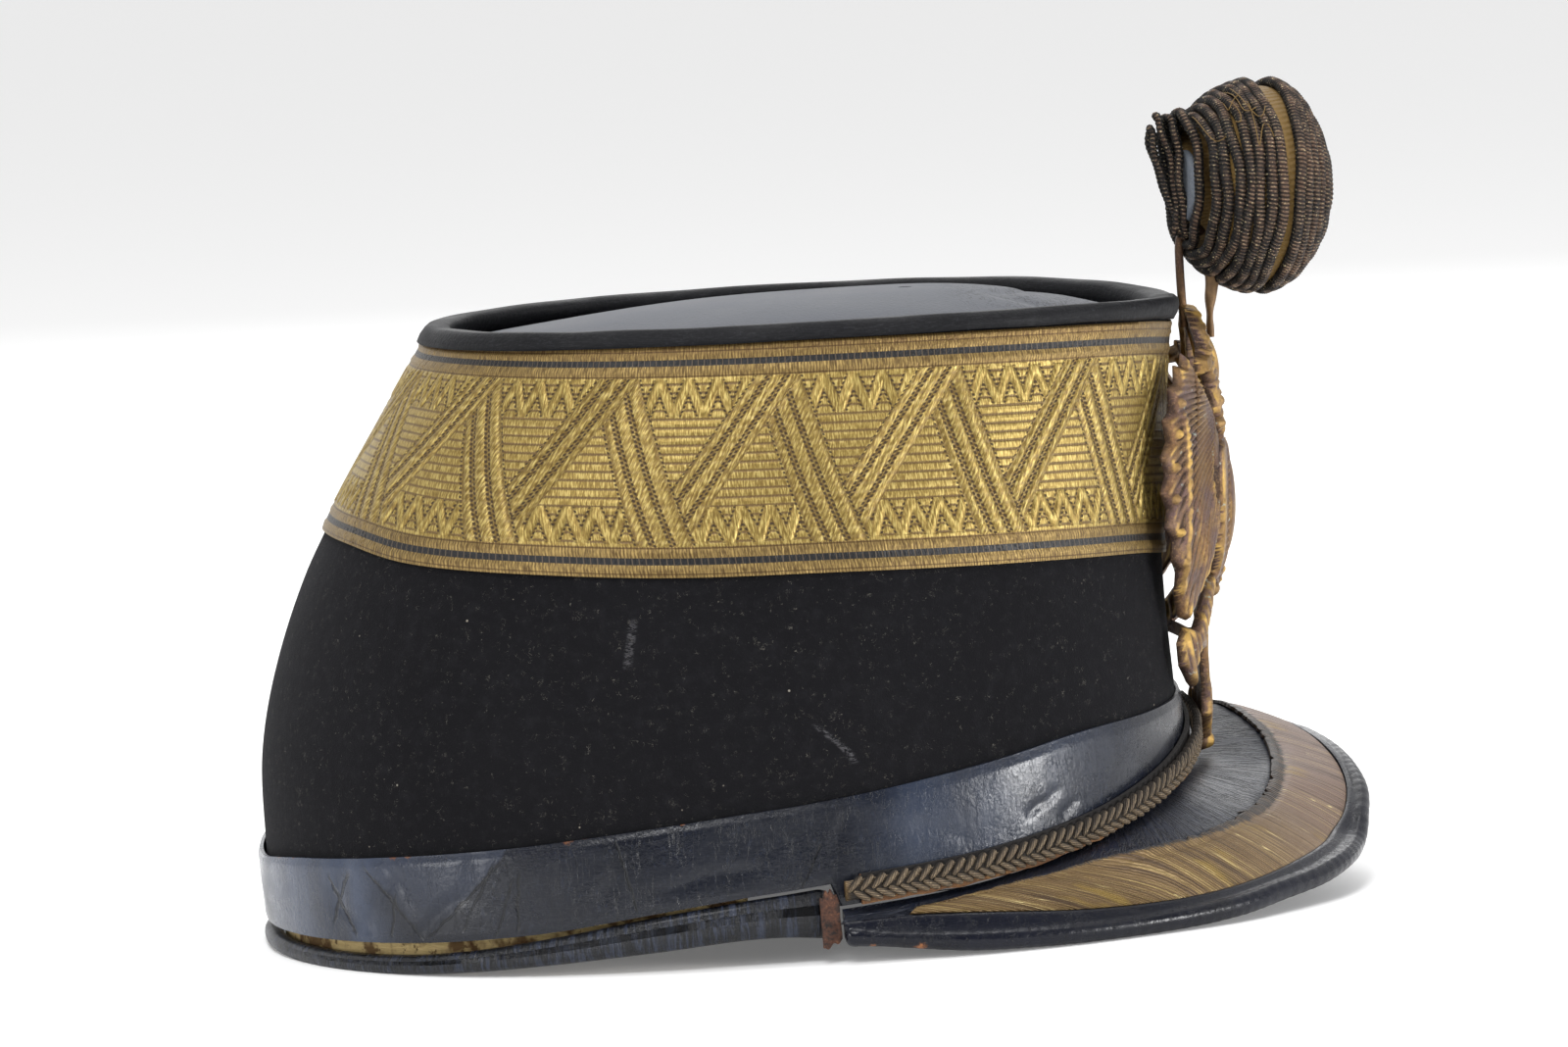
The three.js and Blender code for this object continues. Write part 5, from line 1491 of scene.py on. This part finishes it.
def plateRelief():  # front and back of the casting with its rim, and how far each point stands out
    cell = plateSizes["cell"]
    half, low, high = plateSizes["reach"]
    y, z = (v.copy() for v in np.meshgrid(np.arange(-half, half + cell, cell), np.arange(low, high, cell),
                                          indexing="ij"))
    inside, _ = plateField(y, z)
    for _ in range(2):  # pulls the points next to the outline onto it
        slopeY, slopeZ = np.gradient(inside, cell)
        steep = np.maximum(slopeY ** 2 + slopeZ ** 2, 0.25)
        close = np.abs(inside) < cell * 0.72
        y = y - np.where(close, inside * slopeY / steep, 0)
        z = z - np.where(close, inside * slopeZ / steep, 0)
        moved, height = plateField(y, z)
        inside = np.where(close, moved, inside)
    solid = moved > -cell * 0.12
    full = solid[:-1, :-1] & solid[1:, :-1] & solid[1:, 1:] & solid[:-1, 1:]
    slope = 2 * plateSizes["bend"] * y
    scale = 1 / np.hypot(1, slope)
    back = smooth(plateRows["z"], plateRows["x"], z) - plateSizes["bend"] * y * y

    def bent(level):
        return np.stack([back + level * scale, y + level * slope * scale, z], -1).reshape(-1, 3)

    softEdge = ease(-0.05, 0.7, moved)
    front = bent(plateSizes["thick"] * (0.45 + 0.55 * softEdge) + height * softEdge)
    rear = bent(0.25 * (1 - softEdge) + np.clip(height - 1.0, 0, 2.2) * 0.55 * ease(0.6, 1.6, moved))
    count = y.size
    number = np.arange(count).reshape(y.shape)
    a, b, c, d = number[:-1, :-1], number[1:, :-1], number[1:, 1:], number[:-1, 1:]
    quads = np.stack([a[full], b[full], c[full], d[full]], 1)
    faces = [quads, quads[:, ::-1] + count]
    padded = np.pad(full, 1)
    for here, there, beside in ((a, b, padded[1:-1, :-2]), (c, d, padded[1:-1, 2:]),
                                (b, c, padded[2:, 1:-1]), (d, a, padded[:-2, 1:-1])):
        rim = full & ~beside
        faces.append(np.stack([there[rim], here[rim], here[rim] + count, there[rim] + count], 1))
    used, faces = np.unique(np.concatenate(faces), return_inverse=True)
    faces = faces.reshape(-1, 4)
    points = np.concatenate([front, rear])[used]
    if enclosed(points, faces) < 0:
        faces = faces[:, ::-1]
    around = height
    for shift in (1, 2, 4):  # mean height round each point
        moves = [(i, j) for i in (-shift, 0, shift) for j in (-shift, 0, shift)]
        around = sum(np.roll(around, move, (0, 1)) for move in moves) / 9
    crest = np.tile((height - around).reshape(-1), 2)[used]
    return points, faces, crest


def plateHanger():  # hooked strip that takes the stem of the rosette
    spots = np.array(plateSizes["hanger"])
    keys = np.arange(len(spots))
    line = np.stack([smooth(keys, spots[:, k], np.linspace(0, len(spots) - 1, 60)) for k in range(3)], -1)
    way = np.gradient(line, axis=0)
    way = way / np.linalg.norm(way, axis=-1, keepdims=True)
    side = np.array([0, 1.0, 0])
    deep, wide = plateSizes["hangerHalf"]
    turn = circle(10)
    bar = line[:, None] + (deep * np.cos(turn))[None, :, None] * np.cross(way, side)[:, None]
    bar = bar + (wide * power(np.sin(turn), 0.7))[None, :, None] * side
    return sweep("strap", bar, ringUv(bar, False), False, 60)


def plateEagle():
    points, faces, crest = plateRelief()
    casting = meshPiece("eagle_relief", points, faces, points[faces.reshape(-1)][:, 1:], sharp=55)
    markPoints(casting, "crest", crest)
    piece = joinedMesh("eagle_plate", [casting, plateHanger()])
    return finishPiece(piece, plateLook(), "plate_brass", "plate")


def plateLook():
    look = Look("plateBrass", specularIorLevel=0.6)
    place = look.place()
    _, _, z = look.split(place)
    patina = look.noise(place, 0.09, 5, 0.65)
    fine = look.noise(place, 0.9, 4, 0.7)
    grit = look.noise(place, 2.2, 4, 0.8)
    verdigris = look.noise(place, 0.35, 3, 0.6)
    gilt = ease(0.45, 0.6, look.noise(place, 0.16, 3))
    crest = look.attribute("crest")
    hollow = look.node("ShaderNodeNewGeometry", {}, {}, "Pointiness")
    colour = look.mix(ease(0.4, 0.6, patina), plateSizes["warm"], plateSizes["dull"])
    colour = look.mix(ease(0.5, 0.62, fine) * 0.5, colour, srgb(66, 48, 38))
    colour = look.mix(gilt * 0.2, colour, srgb(148, 118, 60))
    # brighter gilt on the raised crests: rubbed metal and a painted highlight
    raised = ease(0.1, 0.45, crest + (fine - 0.5) * 0.5) * (0.3 + gilt * 0.55)
    colour = look.mix(raised, colour, plateSizes["gilt"])
    colour = look.mix(ease(-0.04, -0.34, crest) * 0.8, colour, plateSizes["deep"])
    colour = look.mix(ease(125, 131, z) * 0.75, colour, srgb(62, 44, 36))
    colour = look.mix(ease(0.495, 0.44, hollow) * 0.85, colour, srgb(40, 25, 20))
    colour = look.mix(ease(0.66, 0.72, verdigris) * 0.8, colour, srgb(146, 158, 148))
    colour = look.mix(ease(0.55, 0.68, grit) * 0.45, colour, srgb(44, 31, 26))
    colour = look.mix(ease(0.45, 0.35, grit) * 0.35, colour, srgb(176, 140, 92))
    look.set(baseColor=colour, metallic=0.75 - ease(0.6, 0.75, verdigris) * 0.6, roughness=0.3 + fine * 0.3,
             normal=look.bump(fine + patina * 0.5 + grit * 0.6, 0.6, 0.35))
    return look


plateEagle()
print("plate made")


# Rosette: rings of wound cord, loose loops behind, the backing disc and the stem

rosette = {
    "centre": (216.6, 0, 152.2), "aside": 11, "up": -3, "threads": 6, "wraps": 0.122,
    # the colour under worn is a painted highlight on the crests of the wraps; gap is painted shade in the
    # grooves between them
    "light": srgb(88, 66, 52), "dark": srgb(34, 27, 25), "worn": srgb(156, 130, 106), "gap": srgb(10, 8, 8),
    "core": (srgb(92, 68, 30), srgb(140, 110, 50))}
rosetteAim = np.array(Matrix.Rotation(math.radians(rosette["aside"]), 3, "Z")
                      @ Matrix.Rotation(-math.radians(rosette["up"]), 3, "Y"))


def placed(local):  # from the rosette's own axes to the hat
    return local @ rosetteAim.T + rosette["centre"]


def aimed(axial, out, turn):  # points from the distance along the axis and the radius and angle round it
    axial, out, turn = np.broadcast_arrays(axial, out, turn)
    return placed(np.stack([axial, out * np.cos(turn), out * np.sin(turn)], -1))


def cordLine(line, radius, sides, wrap=0.0):  # sections round a line of points, uneven by wrap
    way = np.gradient(line, axis=0)
    way = way / np.linalg.norm(way, axis=-1, keepdims=True)
    first = np.cross(way, rosetteAim @ np.array((1.0, 0, 0)))
    first = first / np.maximum(np.linalg.norm(first, axis=-1, keepdims=True), 1e-6)
    second = np.cross(way, first)
    turn = circle(sides)[None, :]
    swell = radius * (1 + wrap * np.sin(lengths(line)[:, None] * math.tau + turn))
    across, down = (swell * np.cos(turn))[..., None], (swell * np.sin(turn))[..., None]
    return line[:, None] + first[:, None] * across + second[:, None] * down


cordRows = table("axial out cord slack", [  # slack moves the upper part back
    (-9.0, 14.8, 1.25, 0.4), (-7.2, 16.6, 1.3, 0.4), (-5.2, 18.4, 1.3, 0.4), (-3.2, 19.8, 1.3, 0.4),
    (-1.2, 20.8, 1.35, 0.4), (0.9, 21.6, 1.35, 0.4), (3.0, 22.2, 1.35, 0.4), (7.0, 22.4, 1.3, -2.0),
    (8.9, 21.9, 1.3, -1.3), (11.0, 20.7, 1.3, -0.9), (13.0, 18.9, 1.3, -0.5), (14.9, 16.7, 1.3, -0.2),
    (16.5, 14.0, 1.3, 0), (17.9, 11.0, 1.3, 0), (19.0, 7.7, 1.3, 0), (19.6, 4.3, 1.3, 0),
    (19.9, 1.5, 1.2, 0)])
loopRows = table("axial tall wide cord lean high", [  # loose loops that stand out behind
    (-16.3, 11.4, 1.2, 0.85, 3.2, 1.4), (-14.8, 12.6, 1.8, 0.9, 2.6, 2.8), (-13.2, 12.8, 3.4, 1.0, 1.8, 2.2),
    (-11.2, 14.4, 9.0, 1.15, 0.9, 1.6)])


def wander(draw, angle, slow, fast):  # how far a loose ring strays from its place
    return slow * np.sin(angle * 3 + draw.uniform(0, 6)) + fast * np.sin(angle * 7 + draw.uniform(0, 6))


def closedCord(line, cord):
    closed = np.concatenate([line[-1:], line, line[:1]])
    sections = cordLine(closed, cord, 8, 0.1)[1:-1]
    return sweep("cord", sections, ringUv(sections, True), True)


def cordRing(axial, out, cord, slack, draw):  # ring of cord round the head, looser at the back
    loose = 0.5 if axial < 4 else 0.2
    angle = circle(max(48, int(out * 20)))
    shift = loose * wander(draw, angle, 0.6, 0.4)
    along = axial - slack * np.maximum(np.sin(angle), 0)
    return closedCord(aimed(along + shift, out + shift * 0.5, angle), cord)


def looseLoop(axial, tall, wide, cord, lean, high, draw):
    angle = circle(260)
    shift = wander(draw, angle, 0.5, 0.25)
    local = np.stack([axial - lean * np.sin(angle) + shift, wide * np.cos(angle) + shift * 0.4,
                      high + tall * np.sin(angle)], -1)
    return closedCord(placed(local), cord)


def strayThread(draw):
    share = np.linspace(0, 1, 26)
    start, turn = draw.uniform(-12, -1), math.radians(draw.uniform(88, 130))
    angle = turn + 0.5 * share + 0.2 * np.sin(share * draw.uniform(4, 9) + draw.uniform(0, 6))
    axial = start + share * draw.uniform(-3, 6) + 1.2 * np.sin(share * 6 + draw.uniform(0, 6))
    out = np.interp(axial, cordRows["axial"], cordRows["out"])
    out = out + 1.6 + 0.9 * np.sin(share * 5 + draw.uniform(0, 6))
    sections = cordLine(aimed(axial, out, angle), 0.11, 5)
    return sweep("hair", sections, ringUv(sections, False), False)


def domeCore():  # plain head that the cord is wound on
    axial = np.linspace(-8.6, 19.2, 34)
    out = np.maximum(np.interp(axial, cordRows["axial"], cordRows["out"]) - 0.6, 0.4)
    sections = aimed(axial[None, :], out[None, :], circle(72)[:, None])
    piece = sweep("core", sections, ringUv(sections, True), True)
    closeHole(piece.data)
    return piece


def rosetteDome():
    draw = random.Random(3)
    parts = [cordRing(*row, draw) for row in zip(*cordRows.values())]
    parts += [looseLoop(*row, draw) for row in zip(*loopRows.values())]
    plain = [strayThread(draw) for _ in range(rosette["threads"])] + [domeCore()]
    for part in plain:
        markPoints(part, "core", np.ones(len(part.data.vertices)))
    return finishPiece(joinedMesh("rosette_dome", parts + plain), cordLook(), "rosette_cord", "rosette")


def cordLook():  # wrapped cord; the core attribute marks the bare head and the stray threads
    look = Look("rosetteCord", specularIorLevel=0.5)
    place = look.place()
    run, across, _ = look.split(look.flat())
    wraps = size(fraction(run + across * rosette["wraps"] + 0.25) - 0.5) * 2
    dirt = look.noise(place, 0.11, 4, 0.7)
    fine = look.noise(place, 1.6, 4, 0.8)
    spark = look.noise(place, 3.0, 2, 0.6)
    outer = (across / 1.27).math("COSINE")
    core = look.attribute("core")
    colour = look.mix(ease(0.35, 0.65, dirt), rosette["light"], rosette["dark"])
    # painted highlight on the crests of the wraps
    colour = look.mix(ease(0.5, 0.1, wraps) * ease(0.46, 0.6, fine) * 0.8, colour, rosette["worn"])
    # painted shade in the grooves between the wraps
    colour = look.mix(ease(0.4, 0.9, wraps) * 0.9, colour, rosette["gap"])
    # painted shade on the sides of each cord that face its neighbours
    colour = look.mix(ease(0.9, 0.5, outer) * 0.93, colour, srgb(5, 4, 4))
    # painted gold glints on the crests of the wraps
    colour = look.mix(ease(0.62, 0.68, spark) * ease(0.6, 0.2, wraps), colour, srgb(224, 206, 160))
    colour = look.mix(core, colour, look.mix(fine, *rosette["core"]))
    look.set(baseColor=colour, metallic=(0.2 + fine * 0.3) * (1 - core), roughness=0.5 + fine * 0.2,
             normal=look.bump(fine - wraps * 0.8, 0.8, 0.5))
    return look


disc = {"rows": ((-10.1, 0.4), (-10.0, 4), (-10.1, 7.4), (-10.5, 7.8), (-11.5, 7.8), (-11.9, 7.4), (-12.0, 4),
                 (-11.9, 0.4)),  # distance along the axis and radius
        "dark": srgb(72, 78, 88), "light": srgb(112, 118, 126), "fuzz": srgb(150, 152, 150)}


def rosetteBack():
    axial, radius = np.array(disc["rows"]).T
    angle = circle(72)[:, None]
    dent = 0.18 * np.sin(angle * 2) + 0.1 * np.sin(angle * 5)
    sections = aimed(axial[None, :], radius[None, :] + dent, angle)
    piece = sweep("rosette_disc", sections, ringUv(sections, True), True, 50)
    closeHole(piece.data)
    look = Look("rosetteFelt")
    place = look.place()
    fuzz = look.noise(place, 1.8, 4, 0.8)
    colour = look.mix(look.noise(place, 0.2, 3), disc["dark"], disc["light"])
    colour = look.mix(ease(0.55, 0.7, fuzz) * 0.6, colour, disc["fuzz"])
    look.set(baseColor=colour, roughness=0.8 + fuzz * 0.15, normal=look.bump(fuzz, 0.8, 0.5))
    return finishPiece(piece, look, "rosette_felt", "rosette_back")


stem = {"low": (210.4, 119.5), "long": 18.0, "half": 1.7,
        "dark": srgb(66, 52, 44), "light": srgb(142, 112, 76)}


def rosetteStem():
    share = np.linspace(0, 1, 24)[:, None]
    turn = circle(12)[None, :]
    x = stem["low"][0] + 1.2 * share - 0.35 * np.sin(share * 5)
    z = stem["low"][1] + stem["long"] * share
    wide = stem["half"] + 0.25 * np.sin(share * 7)
    deep = 0.7 + 1.1 * ease(0.2, 0.8, share) + 0.12 * np.sin(share * 17)
    sections = np.stack([x + deep * np.cos(turn), wide * power(np.sin(turn), 0.7), z + 0 * turn], -1)
    piece = sweep("stem_bar", sections, ringUv(sections, False), False, 60)
    look = Look("stemMetal", specularIorLevel=0.5)
    fine = look.noise(look.place(), 0.9, 4, 0.7)
    look.set(baseColor=look.mix(fine, stem["dark"], stem["light"]), metallic=0.5 + fine * 0.3,
             roughness=0.4 + fine * 0.3, normal=look.bump(fine, 0.5, 0.4))
    return finishPiece(piece, look, "stem_metal", "rosette_stem")


rosetteDome()
rosetteBack()
rosetteStem()
print("rosette made")
